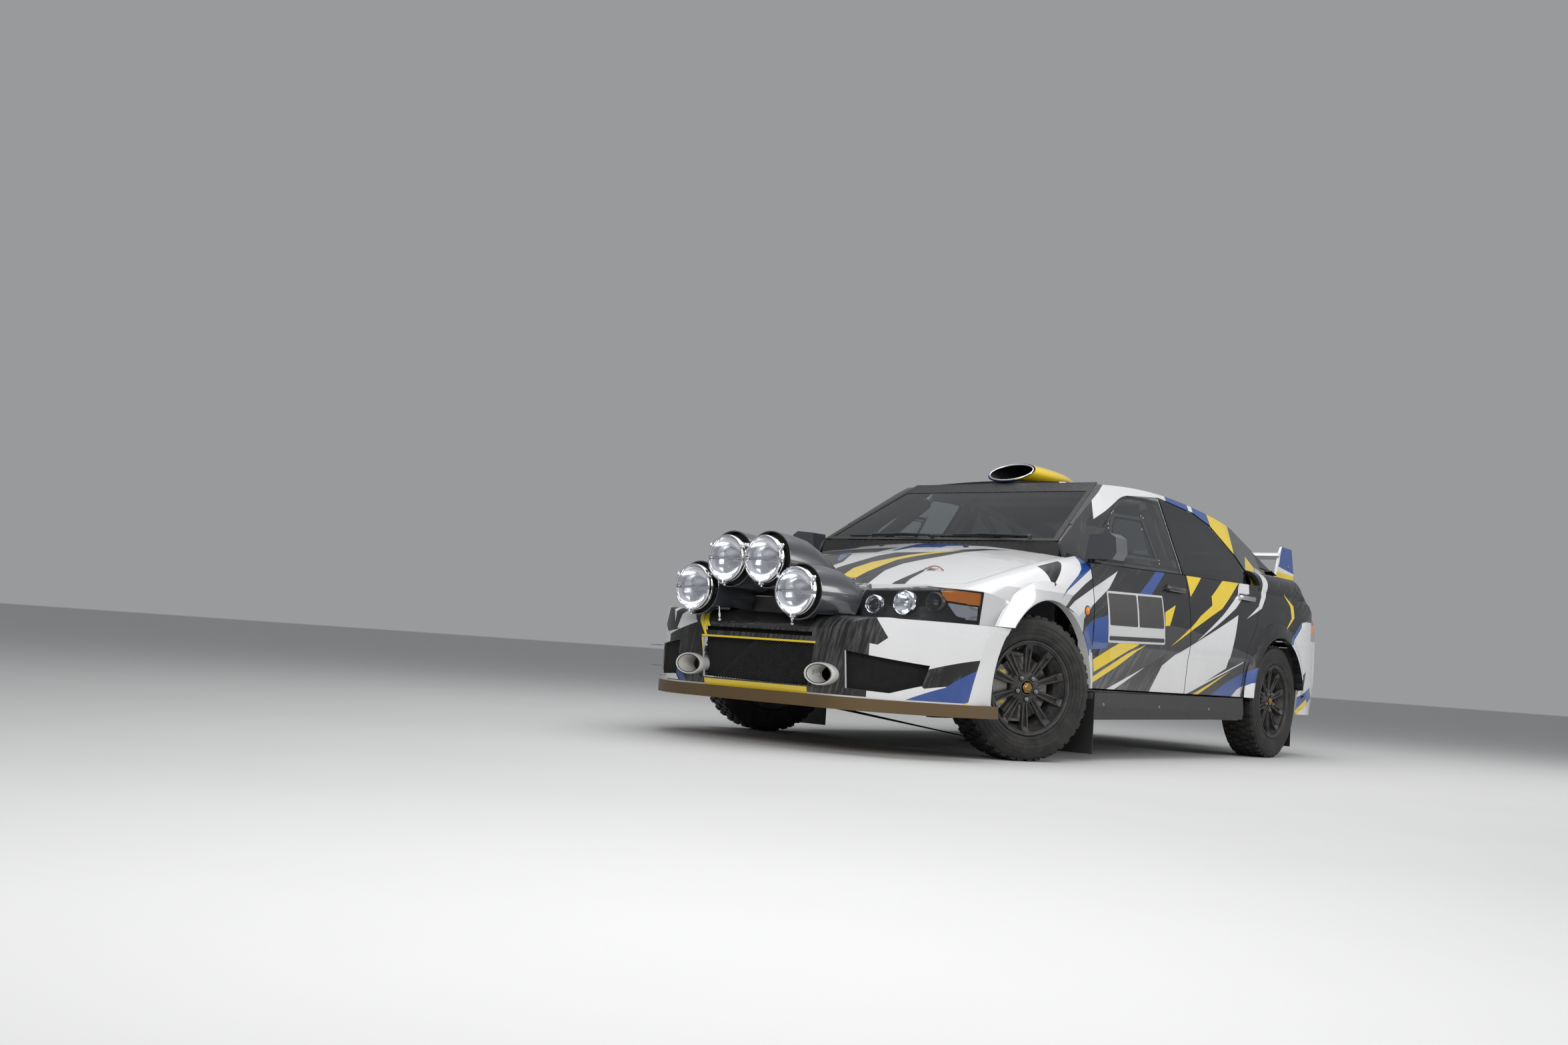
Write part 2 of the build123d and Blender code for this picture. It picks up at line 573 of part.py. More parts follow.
# Floor, tunnel, bulkheads and rear wheel housings
sheet = 12
floor_height = 215
boot_height = 420
tow_eye = (300, 4388, 218)
tow_eye_radius = 18
wheelhouse = 545            # inner face of the rear wheel housings, half width
firewall_station = 1296
tunnel_half = 120
with BuildPart() as floor_pan:
    with BuildPart(mode=Mode.PRIVATE) as floor_half:
        with BuildSketch(Plane(origin=(tunnel_half + seat_gap, -middle, 0), x_dir=(0, 1, 0), z_dir=(1, 0, 0))):
            outline((firewall_station - sheet, 330), [
                (1370, floor_height), (2900, floor_height), (2900, floor_height + sheet),
                (1376, floor_height + sheet), (firewall_station, 336), (firewall_station - sheet, 336)])
        extrude(amount=post_inner - 2 - tunnel_half - seat_gap)
        add(block((640, 1200, 200), (760, sill_front, 345)), mode=Mode.SUBTRACT)
        add(block((post_inner - 3, 1380, floor_height), (699.7, 2900, floor_height + sheet)))
    add(both_wings(floor_half.part))
    add(block((-tunnel_half, firewall_station + seat_gap, floor_height), (tunnel_half, 2925, 400)))
    add(block((-108, 1200, 200), (108, 2940, 388)), mode=Mode.SUBTRACT)
    add(block((2 - post_inner, firewall_station - sheet, 336 + seat_gap), (post_inner - 2, firewall_station, 900)))
    with BuildPart(mode=Mode.PRIVATE) as boot_floor_sheet:
        with BuildSketch(side_plane):
            outline((2900 + seat_gap, floor_height), [
                (3010, boot_height), (4290, boot_height), (4290, boot_height + sheet), (3004, boot_height + sheet),
                (2900 + seat_gap, floor_height + 23.7)])
        extrude(amount=post_inner - 2, both=True)
        add(both_wings(block((wheelhouse, 3188, 300), (900, 3905, 700))), mode=Mode.SUBTRACT)
        add(both_wings(block((post_inner - 3, 2900 + seat_gap, floor_height), (699.7, 2906, floor_height + sheet))))
        add(block((-tunnel_half - seat_gap, 2890, 200), (tunnel_half + seat_gap, 2940, 400.3)), mode=Mode.SUBTRACT)
        with BuildSketch(Plane(origin=(tow_eye[0], -middle, 0), x_dir=(0, 1, 0), z_dir=(1, 0, 0))):
            outline((4200, boot_height + 2), [(4280, boot_height + 2), (4330, 246), (4424, 246), (4424, 190),
                                              (4350, 190), (4290, 240)])
            with Locations(tow_eye[1:]):
                Circle(tow_eye_radius, mode=Mode.SUBTRACT)
        extrude(amount=sheet / 2, both=True)
    add(boot_floor_sheet.part)
    wheelhouse_foot = boot_height + sheet + seat_gap
    wheelhouse_rear = 3950 - seat_gap
    with BuildPart(mode=Mode.PRIVATE) as wheelhouse_walls:
        add(block((wheelhouse - 8, 3180, wheelhouse_foot), (wheelhouse, wheelhouse_rear, 668)))
        add(block((wheelhouse - 8, 3180, 660), (post_inner - 0.3, wheelhouse_rear, 668)))
        add(block((wheelhouse - 8, 3180, wheelhouse_foot), (post_inner - 0.3, 3188, 668)))
    add(both_wings(wheelhouse_walls.part))
    with BuildPart(mode=Mode.PRIVATE) as bulkhead:
        add(block((-660, 3950, wheelhouse_foot), (660, 3962, 1020)))
        with BuildPart(mode=Mode.PRIVATE) as boot_hinges:
            add(both_wings(block((560, 3955, 900), (600, 4030, 1100))))
            add(tail_volume(skin + seat_gap), mode=Mode.INTERSECT)
            add(cabin_volume(40), mode=Mode.SUBTRACT)
            add(block((-700, 3900, 800), (700, 3955, 1200)), mode=Mode.SUBTRACT)
        add(boot_hinges.part)
        add(both_wings(block((560, 3955, 860), (600, 3990, 1000))))
    add(bulkhead.part)
print("floor", [round(s.volume) for s in floor_pan.part.solids()])
save(floor_pan.part, "floor_pan")

# Inner wings, front panel and hood hinges
wing_inner = 440
with BuildPart() as inner_wings:
    add(block((wing_inner, 205.3, 262), (wing_inner + sheet, firewall_station - sheet, 724)))
    add(block((wing_inner - 1, 205, bumper_top - 8), (wing_inner + sheet + 1, 620, 730)), mode=Mode.SUBTRACT)
    with BuildPart(mode=Mode.PRIVATE) as apron:
        add(block((wing_inner, 604, 712), (900, firewall_station - sheet, 724)))
        add(block((wing_inner, 206, bumper_top + 3 - seat_gap - sheet), (636, 600, bumper_top + 3 - seat_gap)))
        add(block((590, 1225, 712), (630, 1262, 1100)))
        add(nose_volume(skin + seat_gap), mode=Mode.INTERSECT)
    add(apron.part)
    add(block((520, 840, 704 + seat_gap), (735, 1010, 713)))
    mirror(about=Plane.YZ)
    add(block((-wing_inner, 205.3, 262), (wing_inner, 217, 640)))
    add(block((-330, 200, 290), (330, 230, 540)), mode=Mode.SUBTRACT)
    add(both_wings(block((325, 200, bumper_top - 9), (wing_inner + 20, 230, 700))), mode=Mode.SUBTRACT)
    add(both_wings(arch_cut(front_axle, front_arch_radius, wing_inner + 30)), mode=Mode.SUBTRACT)
print("inner wings", [round(s.volume) for s in inner_wings.part.solids()])
save(inner_wings.part, "inner_wings")

with BuildPart() as radiator:
    add(block((-329, 217 + seat_gap, 268), (329, 275, 560)))
save(radiator.part, "radiator")

with BuildPart() as engine_block:
    add(block((-250, 420, 236 + seat_gap), (250, 980, 620)))
    add(block((-330, 470, 480), (330, 800, 640)))
    add(block((-90, 980, 250), (90, 1270, 372)))
save(engine_block.part, "engine_block")

# Grille meshes behind the openings
mesh_wall = 3
with BuildPart() as grille_mesh:
    add(shell(bumper_volume, mesh_wall, bumper_wall + seat_gap))
    with BuildPart(mode=Mode.PRIVATE) as mesh_areas:
        add(front_region((0, intake[0][1] - 8), [(intake[0][0] + 8, intake[0][1] - 8),
                                                 (intake[1][0] + 8, slot[1][1] + 8), (0, slot[1][1] + 8)],
                         -80, 240))
        add(front_region((463, 424), [(752, 384)] + fog_opening, -80, 420, gap=8))
    add(mesh_areas.part, mode=Mode.INTERSECT)
    with BuildSketch(front_plane(-80)):
        with Locations(duct_centre):
            Circle(duct_radius + 10 + seat_gap)
    extrude(amount=-280, mode=Mode.SUBTRACT)
    mirror(about=Plane.YZ)
print("mesh", [round(s.volume) for s in grille_mesh.part.solids()])
save(grille_mesh.part, "grille_mesh")

# Lamp pod on the hood, with its four lamps
lamp_radius = 102
lamp_depth = 150
lamp_face = -lamp_reach
lamp_centres = [(104, 781), (285, 652)]
pod_wall = 6
pod_back = 420


def pod_block(wall, front):
    """The pod's outer form, cut off along its sloping back."""
    radius = lamp_radius + 20 - wall
    with BuildPart() as form:
        with BuildSketch(front_plane(front)):
            for x, z in lamp_centres:
                with Locations((x, z)):
                    Circle(radius)
            make_hull()
            with BuildLine():
                Polyline((0, 640), (0, 781 + radius), (104, 781 + radius), (104, 640), (0, 640))
            make_face()
        extrude(amount=-(pod_back - front))
        add(region((front - 1, 500), [(front - 1, 1000), (60, 1000), (pod_back, 770 - wall), (pod_back, 500)]),
            mode=Mode.INTERSECT)
    return form.part


with BuildPart() as lamp_pod:
    add(pod_block(0, lamp_face + 30))
    add(pod_block(pod_wall, lamp_face + 30 + pod_wall), mode=Mode.SUBTRACT)
    for x, z in lamp_centres:
        with BuildSketch(front_plane(lamp_face - 10)):
            with Locations((x, z)):
                Circle(lamp_radius + 0.3)
        extrude(amount=-80, mode=Mode.SUBTRACT)
    add(nose_volume(-seat_gap), mode=Mode.SUBTRACT)
    add(bumper_volume(-panel_gap), mode=Mode.SUBTRACT)
    mirror(about=Plane.YZ)
print("pod", [round(s.volume) for s in lamp_pod.part.solids()])
save(Part(lamp_pod.part.solids().sort_by(SortBy.VOLUME)[-1].wrapped), "lamp_pod")

with BuildPart() as pod_lamps:
    for x, z in lamp_centres:
        with BuildSketch(front_plane(lamp_face)):
            with Locations((x, z)):
                Circle(lamp_radius)
        extrude(amount=-40)
        with BuildSketch(front_plane(lamp_face + 40)):
            with Locations((x, z)):
                Circle(lamp_radius - 2)
        with BuildSketch(front_plane(lamp_face + lamp_depth)):
            with Locations((x, z)):
                Circle(50)
        loft()
    mirror(about=Plane.YZ)
save(pod_lamps.part, "pod_lamps")

# Roof scoop
scoop_half = 150
scoop_steps = [(1886, 1402), (1902, 1462), (1960, 1490, 2060, 1496), (2300, 1500), (2478, 1478), (2520, 1400)]
with BuildPart() as roof_scoop:
    add(prism(side_plane, (1880, 1340), scoop_steps + [(2520, 1340)], scoop_half, both=True))
    with BuildSketch(front_plane(1860)):
        outline((0, 1340), [(scoop_half, 1340), (scoop_half, 1420), (130, 1486, 60, 1500), (0, 1504)], True)
    extrude(amount=-700, mode=Mode.INTERSECT)
    with BuildSketch(front_plane(1860)):
        with Locations((0, 1438)):
            RectangleRounded(250, 76, 36)
    extrude(amount=-300, mode=Mode.SUBTRACT)
    add(roof_volume(-seat_gap), mode=Mode.SUBTRACT)
print("scoop", [round(s.volume) for s in roof_scoop.part.solids()])
save(Part(roof_scoop.part.solids().sort_by(SortBy.VOLUME)[-1].wrapped), "roof_scoop")

# Rear wing on the boot lid
wing_half = 604
wing_sheet = 14
with BuildPart() as rear_wing:
    with BuildSketch(side_plane):
        outline((4136, 1206), [(4150, 1222, 4190, 1224), (4330, 1206), (4330, 1198), (4190, 1204)])
    extrude(amount=wing_half, both=True)
    with BuildPart(mode=Mode.PRIVATE) as endplate:
        with BuildSketch(Plane(origin=(wing_half - wing_sheet, -middle, 0), x_dir=(0, 1, 0), z_dir=(1, 0, 0))):
            outline((4098, 1040), [(4390, 1040), (4392, 1110), (4344, 1262), (4190, 1266), (4160, 1226)])
        extrude(amount=wing_sheet)
        add(tail_volume(-seat_gap), mode=Mode.SUBTRACT)
        mirror(about=Plane.YZ)
    add(endplate.part)
print("wing", [round(s.volume) for s in rear_wing.part.solids()])
save(Part(rear_wing.part.solids().sort_by(SortBy.VOLUME)[-1].wrapped), "rear_wing")

# Wheels: the tyre and the rim with its brake disc, about the wheel's own centre, outer face towards +X
wheel_offset = half_track - kingpin_half
strut_top = 704
mount_face = 35
hub_disc = 24
disc_face = 16
disc_thickness = 24
tread_half = 84
bead_half = rim_width / 2 - 4
with BuildPart() as tyre:
    with BuildSketch(Plane.XY):
        with BuildLine():
            Polyline((-bead_half, bead_radius), (-bead_half, flange_radius + 1), (-tyre_width / 2, 252), (-98, 296),
                     (-tread_half, tyre_radius), (tread_half, tyre_radius), (98, 296), (tyre_width / 2, 252),
                     (bead_half, flange_radius + 1), (bead_half, bead_radius), (-bead_half, bead_radius))
        make_face()
    revolve(axis=Axis.X)

with BuildPart() as rim:
    with BuildSketch(Plane.XY):
        edge = rim_width / 2
        with BuildLine():
            Polyline((-edge - 4, flange_radius), (-edge + 3, flange_radius), (-edge + 3.9, bead_radius - 0.1),
                     (-50, bead_radius - 0.1), (-36, 174), (20, 174), (40, bead_radius - 0.1),
                     (edge - 3.9, bead_radius - 0.1), (edge - 3, flange_radius), (edge + 4, flange_radius),
                     (edge + 4, bead_radius - 8), (48, bead_radius - 8), (26, 166), (-40, 166),
                     (-54, bead_radius - 8), (-edge - 4, bead_radius - 8), (-edge - 4, flange_radius))
        make_face()
    revolve(axis=Axis.X)
    with BuildSketch(Plane.YZ.offset(mount_face)):
        Circle(76)
    extrude(amount=hub_disc)
    with BuildSketch(Plane.YZ.offset(mount_face + 6)):
        with PolarLocations(125, spokes):
            Rectangle(118, 24)
    extrude(amount=26)
    with BuildSketch(Plane.YZ.offset(disc_face)):
        Circle(74)
    extrude(amount=mount_face - disc_face)
    with BuildSketch(Plane.YZ.offset(disc_face - disc_thickness)):
        Circle(brake_disc_radius - 12)
    extrude(amount=disc_thickness)
    with BuildSketch(Plane.YZ.offset(disc_face - disc_thickness - 5)):
        Circle(64)
    extrude(amount=disc_thickness + 20, mode=Mode.SUBTRACT)
    with BuildSketch(Plane.YZ.offset(-20)):
        Circle(hub_bore / 2)
    extrude(amount=120, mode=Mode.SUBTRACT)
    with BuildSketch(Plane.YZ.offset(mount_face - 1)):
        with PolarLocations(wheel_bolt_circle / 2, wheel_bolts):
            Circle(bolt_bore / 2)
    extrude(amount=hub_disc + 20, mode=Mode.SUBTRACT)
print("rim", [round(s.volume) for s in rim.part.solids()], "tyre", len(tyre.part.solids()))

# Knuckle about the steering axis on the ground, left side, wheels straight ahead
with BuildPart() as knuckle:
    hub_height = tyre_radius
    with BuildSketch(Plane(origin=(wheel_offset - 20, 0, hub_height), x_dir=(0, 1, 0), z_dir=(1, 0, 0))):
        Circle(44)
    extrude(amount=30)
    with BuildSketch(Plane(origin=(wheel_offset, 0, hub_height), x_dir=(0, 1, 0), z_dir=(1, 0, 0))):
        Circle(hub_bore / 2 - 0.05)
    extrude(amount=mount_face + hub_disc - 4)
    with BuildSketch(Plane(origin=(wheel_offset - 50, 0, hub_height), x_dir=(0, 1, 0), z_dir=(1, 0, 0))):
        outline((-40, -150), [(40, -150), (46, 60), (30, 150), (-30, 150), (-46, 60)])
    extrude(amount=32)
    with BuildSketch(Plane.XY.offset(hub_height + 110)):
        with Locations((-72, 0)):
            Circle(28)
    extrude(amount=strut_top - hub_height - 110)
    with BuildSketch(Plane.XY.offset(hub_height + 110)):
        with Locations((-22, 0)):
            Rectangle(90, 50)
    extrude(amount=45)
    with BuildSketch(Plane.XY.offset(hub_height + 335)):
        with Locations((-72, 0)):
            Circle(58)
    extrude(amount=strut_top - hub_height - 335)
    with BuildSketch(Plane.XY.offset(hub_height - 60)):
        with Locations((-10, -96)):
            Rectangle(60, 130)
    extrude(amount=24)
    with BuildSketch(Plane.XY.offset(hub_height - 40)):
        with Locations((36, -90)):
            Rectangle(24, 110)
    extrude(amount=80)
    with BuildSketch(Plane(origin=(wheel_offset - 40, 0, hub_height), x_dir=(0, 1, 0), z_dir=(1, 0, 0))):
        outline((-152, -48), [(-125, -98), (-84, -64), (-84, 64), (-125, 98), (-152, 48), (-159, 0)])
    extrude(amount=74)
    with BuildSketch(Plane(origin=(wheel_offset + disc_face - disc_thickness - 3, 0, hub_height),
                           x_dir=(0, 1, 0), z_dir=(1, 0, 0))):
        Circle(brake_disc_radius - 9)
    extrude(amount=disc_thickness + 6, mode=Mode.SUBTRACT)
print("knuckle", [round(s.volume) for s in knuckle.part.solids()])


def placed(shape, x, station, height, turn=0, mirrored=False):
    """Shape moved to a place after a turn about the vertical, in the car's frame."""
    base = mirror(shape, about=Plane.YZ) if mirrored else shape
    return Part(base.moved(Location((x, station - middle, height), (0, 0, turn))).wrapped)


steer = radians(steer_at_rest)
for side, sign in (("left", 1), ("right", -1)):
    hub_x = sign * kingpin_half + sign * wheel_offset * cos(steer)
    hub_station = front_axle - sign * wheel_offset * sin(steer)
    for piece, solid in (("tyre", tyre.part), ("rim", rim.part)):
        save(placed(solid, hub_x, hub_station, tyre_radius, -steer_at_rest, sign < 0), f"{piece}_front_{side}")
        save(placed(solid, sign * half_track, rear_axle, tyre_radius, 0, sign < 0), f"{piece}_rear_{side}")
    knuckle_solid = knuckle.part.solids().sort_by(SortBy.VOLUME)[-1]
    save(placed(knuckle_solid, sign * kingpin_half, front_axle, 0, -steer_at_rest, sign < 0),
         f"knuckle_{side}")

# Front subframe with its lower arms, and the rear suspension
with BuildPart() as front_subframe:
    add(block((-330, 860, 200), (330, 990, 236)))
    with BuildSketch(plan_plane(tyre_radius - 150 - seat_gap - 12.7)):
        outline((330, 860), [(330, 990), (kingpin_half + 20, front_axle + 22), (kingpin_half + 20, front_axle - 22)])
    extrude(amount=12.7)
    add(block((300, 860, 150), (340, 990, 236)))
    add(block((wing_inner - 30, 1000, 200), (wing_inner, 1040, 270)))
    add(block((300, 980, 200), (wing_inner, 1040, 230)))
    mirror(about=Plane.YZ)
save(front_subframe.part, "front_subframe")

with BuildPart() as rear_suspension:
    add(block((-420, 3480, 260), (420, 3610, 330)))
    with BuildSketch(Plane(origin=(0, rear_axle - middle, tyre_radius), x_dir=(0, 1, 0), z_dir=(1, 0, 0))):
        Circle(44)
    extrude(amount=half_track - 20)
    with BuildSketch(Plane(origin=(0, rear_axle - middle, tyre_radius), x_dir=(0, 1, 0), z_dir=(1, 0, 0))):
        Circle(hub_bore / 2 - 0.05)
    extrude(amount=half_track + mount_face + hub_disc - 4)
    with BuildSketch(plan_plane(tyre_radius + 40)):
        with Locations((596, rear_axle)):
            Circle(30)
    extrude(amount=292)
    add(block((566, rear_axle - 26, tyre_radius - 20), (626, rear_axle + 26, tyre_radius + 60)))
    add(block((340, 3520, 300), (400, 3580, boot_height - seat_gap)))
    mirror(about=Plane.YZ)
print("rear suspension", len(rear_suspension.part.solids()))
save(rear_suspension.part, "rear_suspension")

with BuildPart() as exhaust:
    with BuildSketch(front_plane(1310)):
        with Locations((0, 255)):
            Circle(32)
    extrude(amount=-1640)
    with BuildSketch(front_plane(2200)):
        with Locations((0, 262)):
            RectangleRounded(170, 96, 30)
    extrude(amount=-420)
    with BuildSketch(front_plane(3800)):
        with Locations((-330, 300)):
            Circle(32)
    extrude(amount=-(tail_station - 6 - 3800))
    with BuildSketch(front_plane(3720)):
        with Locations((-330, 300)):
            RectangleRounded(220, 130, 40)
    extrude(amount=-420)
    with BuildSketch(front_plane(2900)):
        with Locations((0, 260)):
            Circle(32)
    with BuildSketch(front_plane(3320)):
        with Locations((-330, 222)):
            Circle(32)
    loft()
    with BuildSketch(front_plane(3300)):
        with Locations((-330, 222)):
            Circle(32)
    extrude(amount=-440)
    add(block((-12, 2640, 270), (12, 2660, 388 - seat_gap)))
    add(block((-342, 3900, 350), (-318, 3920, boot_height - seat_gap)))
print("exhaust", [round(s.volume) for s in exhaust.part.solids()])
save(exhaust.part, "exhaust")

# Mud flaps behind each wheel, and side skirts along the sills
flap = 5
with BuildPart() as mud_flaps:
    add(block((648, sill_front - seat_gap - flap, 36), (898, sill_front - seat_gap, 320)))
    add(block((560, 3922, 60), (808, 3922 + flap, boot_height - seat_gap)))
    mirror(about=Plane.YZ)
save(mud_flaps.part, "mud_flaps")

with BuildPart() as side_skirts:
    with BuildPart(mode=Mode.PRIVATE) as skirt_room:
        with BuildSketch(side_plane):
            outline((1400, 190), [(3085, 212), (3085, 327), (1380, 316)])
        extrude(amount=900)
    add(prism(front_plane(1300), (834, 190), [(862, 190), (868, 250), (862, 330), (838, 330)], -1900))
    add(skirt_room.part, mode=Mode.INTERSECT)
    add(side_volume(1 - seat_gap), mode=Mode.SUBTRACT)
    mirror(about=Plane.YZ)
save(side_skirts.part, "side_skirts")

# Cabin furniture
driver_x = 370
steering_hub = (driver_x, 1640, 862)
column_end = 100
wheel_plane = Plane(origin=(driver_x, steering_hub[1] - middle, steering_hub[2]), x_dir=(1, 0, 0),
                    z_dir=(0, 0.94, 0.34))
with BuildPart() as dashboard:
    with BuildSketch(side_plane):
        outline((1296 + seat_gap, 700), [(1296 + seat_gap, 900), (1330, 925), (1420, 930, 1500, 900), (1540, 820), (1480, 690)])
    extrude(amount=600, both=True)
    with BuildSketch(wheel_plane.offset(-column_end - seat_gap)):
        Circle(44)
    extrude(amount=300, mode=Mode.SUBTRACT)
    with BuildSketch(wheel_plane.offset(-column_end - seat_gap)):
        Circle(32)
    extrude(amount=-90)
save(dashboard.part, "dashboard")

with BuildPart() as seats:
    for x in (driver_x, -driver_x):
        with BuildSketch(Plane(origin=(x - 230, -middle, 0), x_dir=(0, 1, 0), z_dir=(1, 0, 0))):
            outline((1900, 270), [(1880, 430), (1960, 440), (2240, 380), (2330, 420), (2470, 900), (2500, 1090),
                                  (2560, 1090), (2560, 900), (2420, 330), (2360, 270)])
        extrude(amount=460)
        add(block((x - 190, 1860, 350), (x + 190, 2600, 1200)), mode=Mode.SUBTRACT)
        with BuildSketch(Plane(origin=(x - 230, -middle, 0), x_dir=(0, 1, 0), z_dir=(1, 0, 0))):
            outline((1890, 270), [(1884, 350), (2290, 310), (2350, 360), (2520, 1090), (2560, 1090), (2560, 900),
                                  (2420, 330), (2360, 270)])
        extrude(amount=460)
        add(block((x - 200, 1960, floor_height + sheet + seat_gap), (x - 170, 2300, 290)))
        add(block((x + 170, 1960, floor_height + sheet + seat_gap), (x + 200, 2300, 290)))
print("seats", [round(s.volume) for s in seats.part.solids()])
save(seats.part, "seats")

with BuildPart() as steering_wheel:
    with BuildSketch(Plane(origin=wheel_plane.origin, x_dir=wheel_plane.x_dir, z_dir=wheel_plane.y_dir)):
        with Locations((165, 0)):
            Circle(15)
    revolve(axis=Axis(wheel_plane.origin, wheel_plane.z_dir))
    with BuildSketch(wheel_plane.offset(-8)):
        Circle(45)
        with PolarLocations(100, 3, start_angle=90):
            Rectangle(130, 26)
    extrude(amount=12)
    with BuildSketch(wheel_plane.offset(-column_end)):
        Circle(24)
    extrude(amount=column_end - 4)
print("steering wheel", [round(s.volume) for s in steering_wheel.part.solids()])
save(steering_wheel.part, "steering_wheel")

# Roll cage: points are (x, station, height), both sides
tube_radius = 20
hoop_station = 2440
cage_nodes = {
    "foot": (640, 1412, floor_height + sheet + seat_gap), "dash": (655, 1420, 860), "front": (500, 1990, 1316),
    "hoop_foot": (640, hoop_station, floor_height + sheet + seat_gap), "hoop_waist": (664, hoop_station, 900),
    "hoop": (520, hoop_station, 1333), "stay": (470, 3280, 700),
}
cage_runs = [("foot", "dash"), ("dash", "front"), ("front", "hoop"), ("hoop_foot", "hoop_waist"),
             ("hoop_waist", "hoop"), ("hoop", "stay")]


def cage_point(name, side=1):
    x, station, height = cage_nodes[name]
    return Vector(side * x, station - middle, height)


def tube(start, end, radius=tube_radius):
    """Round tube between two points."""
    with BuildPart() as run:
        with BuildSketch(Plane(origin=start, z_dir=(end - start).normalized())):
            Circle(radius)
        extrude(amount=(end - start).length)
    return run.part


with BuildPart() as roll_cage:
    for side in (1, -1):
        for a, b in cage_runs:
            add(tube(cage_point(a, side), cage_point(b, side)))
        for name in ("dash", "front", "hoop_waist", "hoop"):
            with Locations(cage_point(name, side)):
                Sphere(tube_radius + 1.5)
        add(tube(cage_point("dash", side) - Vector(0, 0, 240), cage_point("hoop_waist", side) - Vector(0, 0, 420)))
    for name in ("front", "hoop"):
        add(tube(cage_point(name, -1), cage_point(name, 1)))
    add(tube(cage_point("hoop", -1), cage_point("stay", 1)))
    add(block((-700, 1300, floor_height), (700, 2900, floor_height + sheet + seat_gap)), mode=Mode.SUBTRACT)
print("cage", [round(s.volume) for s in roll_cage.part.solids()])
save(roll_cage.part, "roll_cage")
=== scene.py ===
"""Dresses the rally saloon: painted panels, wheels, lamps, trim, cabin and a plain studio.

Sizes in tables are millimetres. A station is the distance behind the front bumper's face.
"""

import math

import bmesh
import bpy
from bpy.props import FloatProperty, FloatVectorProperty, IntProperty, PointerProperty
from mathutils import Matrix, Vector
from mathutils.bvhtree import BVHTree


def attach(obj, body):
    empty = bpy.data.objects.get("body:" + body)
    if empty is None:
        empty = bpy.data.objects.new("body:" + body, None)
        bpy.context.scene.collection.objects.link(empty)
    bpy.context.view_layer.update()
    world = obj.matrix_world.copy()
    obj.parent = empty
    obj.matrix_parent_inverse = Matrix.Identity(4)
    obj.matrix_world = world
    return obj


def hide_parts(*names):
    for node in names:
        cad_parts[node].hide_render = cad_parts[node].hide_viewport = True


bl_info = {
    "name": "Rally Saloon Dresser",
    "version": (1, 0, 0),
    "blender": (4, 5, 0),
    "location": "3D View > Sidebar > Rally Saloon",
    "description": "Adds the finish and the fittings of a rally saloon to its solid frame",
    "category": "Object",
}

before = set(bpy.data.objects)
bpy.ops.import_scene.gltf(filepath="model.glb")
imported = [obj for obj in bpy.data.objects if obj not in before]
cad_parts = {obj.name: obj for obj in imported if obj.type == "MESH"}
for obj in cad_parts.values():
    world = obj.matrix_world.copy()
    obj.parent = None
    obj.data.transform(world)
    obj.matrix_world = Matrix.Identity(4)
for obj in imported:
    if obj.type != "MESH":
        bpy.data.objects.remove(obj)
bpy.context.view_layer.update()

MIDDLE = 2142
SIDES = {"left": 1, "right": -1}


def mm(x, station, height):
    """A point of the car's sheet in Blender metres."""
    return Vector((x / 1000, (station - MIDDLE) / 1000, height / 1000))


# Settings that the sidebar shows
class SaloonColours(bpy.types.PropertyGroup):
    """Colours of the paint scheme."""
    white: FloatVectorProperty(name="White", description="Base coat", subtype="COLOR", size=3,
                               default=(0.74, 0.74, 0.745))
    yellow: FloatVectorProperty(name="Yellow", description="Flash on sides, hood and roof", subtype="COLOR", size=3,
                                default=(0.84, 0.60, 0.0))
    blue: FloatVectorProperty(name="Blue", description="Second flash", subtype="COLOR", size=3,
                              default=(0.004, 0.055, 0.27))
    charcoal: FloatVectorProperty(name="Charcoal", description="Brushed dark sweeps", subtype="COLOR", size=3,
                                  default=(0.008, 0.008, 0.009))
    lip: FloatVectorProperty(name="Lip", description="Woven mesh of the front lip", subtype="COLOR", size=3,
                             default=(0.20, 0.125, 0.045))


class SaloonSizes(bpy.types.PropertyGroup):
    """Sizes of the fittings."""
    tread_blocks: IntProperty(name="Tread blocks", description="Blocks in each row round a tyre", default=44,
                              min=24, max=72)
    lamp_glass: FloatProperty(name="Lamp glass", description="Diameter of a pod lamp's lens", default=0.184,
                              unit="LENGTH")
    spoke_pairs: IntProperty(name="Spokes", description="Split spokes of a wheel", default=10, min=5, max=12)
    mesh_pitch: FloatProperty(name="Grille pitch", description="Distance between the wires of the woven grille",
                              default=0.0115, unit="LENGTH")
    pad_radius: FloatProperty(name="Cage pad", description="Radius of the foam on the roll cage", default=0.034,
                              unit="LENGTH")


class SaloonStudio(bpy.types.PropertyGroup):
    """Camera and light."""
    lens: FloatProperty(name="Lens", description="Focal length", default=35.0, unit="CAMERA")
    floor: FloatVectorProperty(name="Floor", description="Colour of the studio floor", subtype="COLOR", size=3,
                               default=(0.58, 0.58, 0.575))
    sky: FloatProperty(name="Sky", description="Strength of the pale surroundings", default=0.34, min=0)


def colours():
    return bpy.context.scene.saloon_colours


def sizes():
    return bpy.context.scene.saloon_sizes


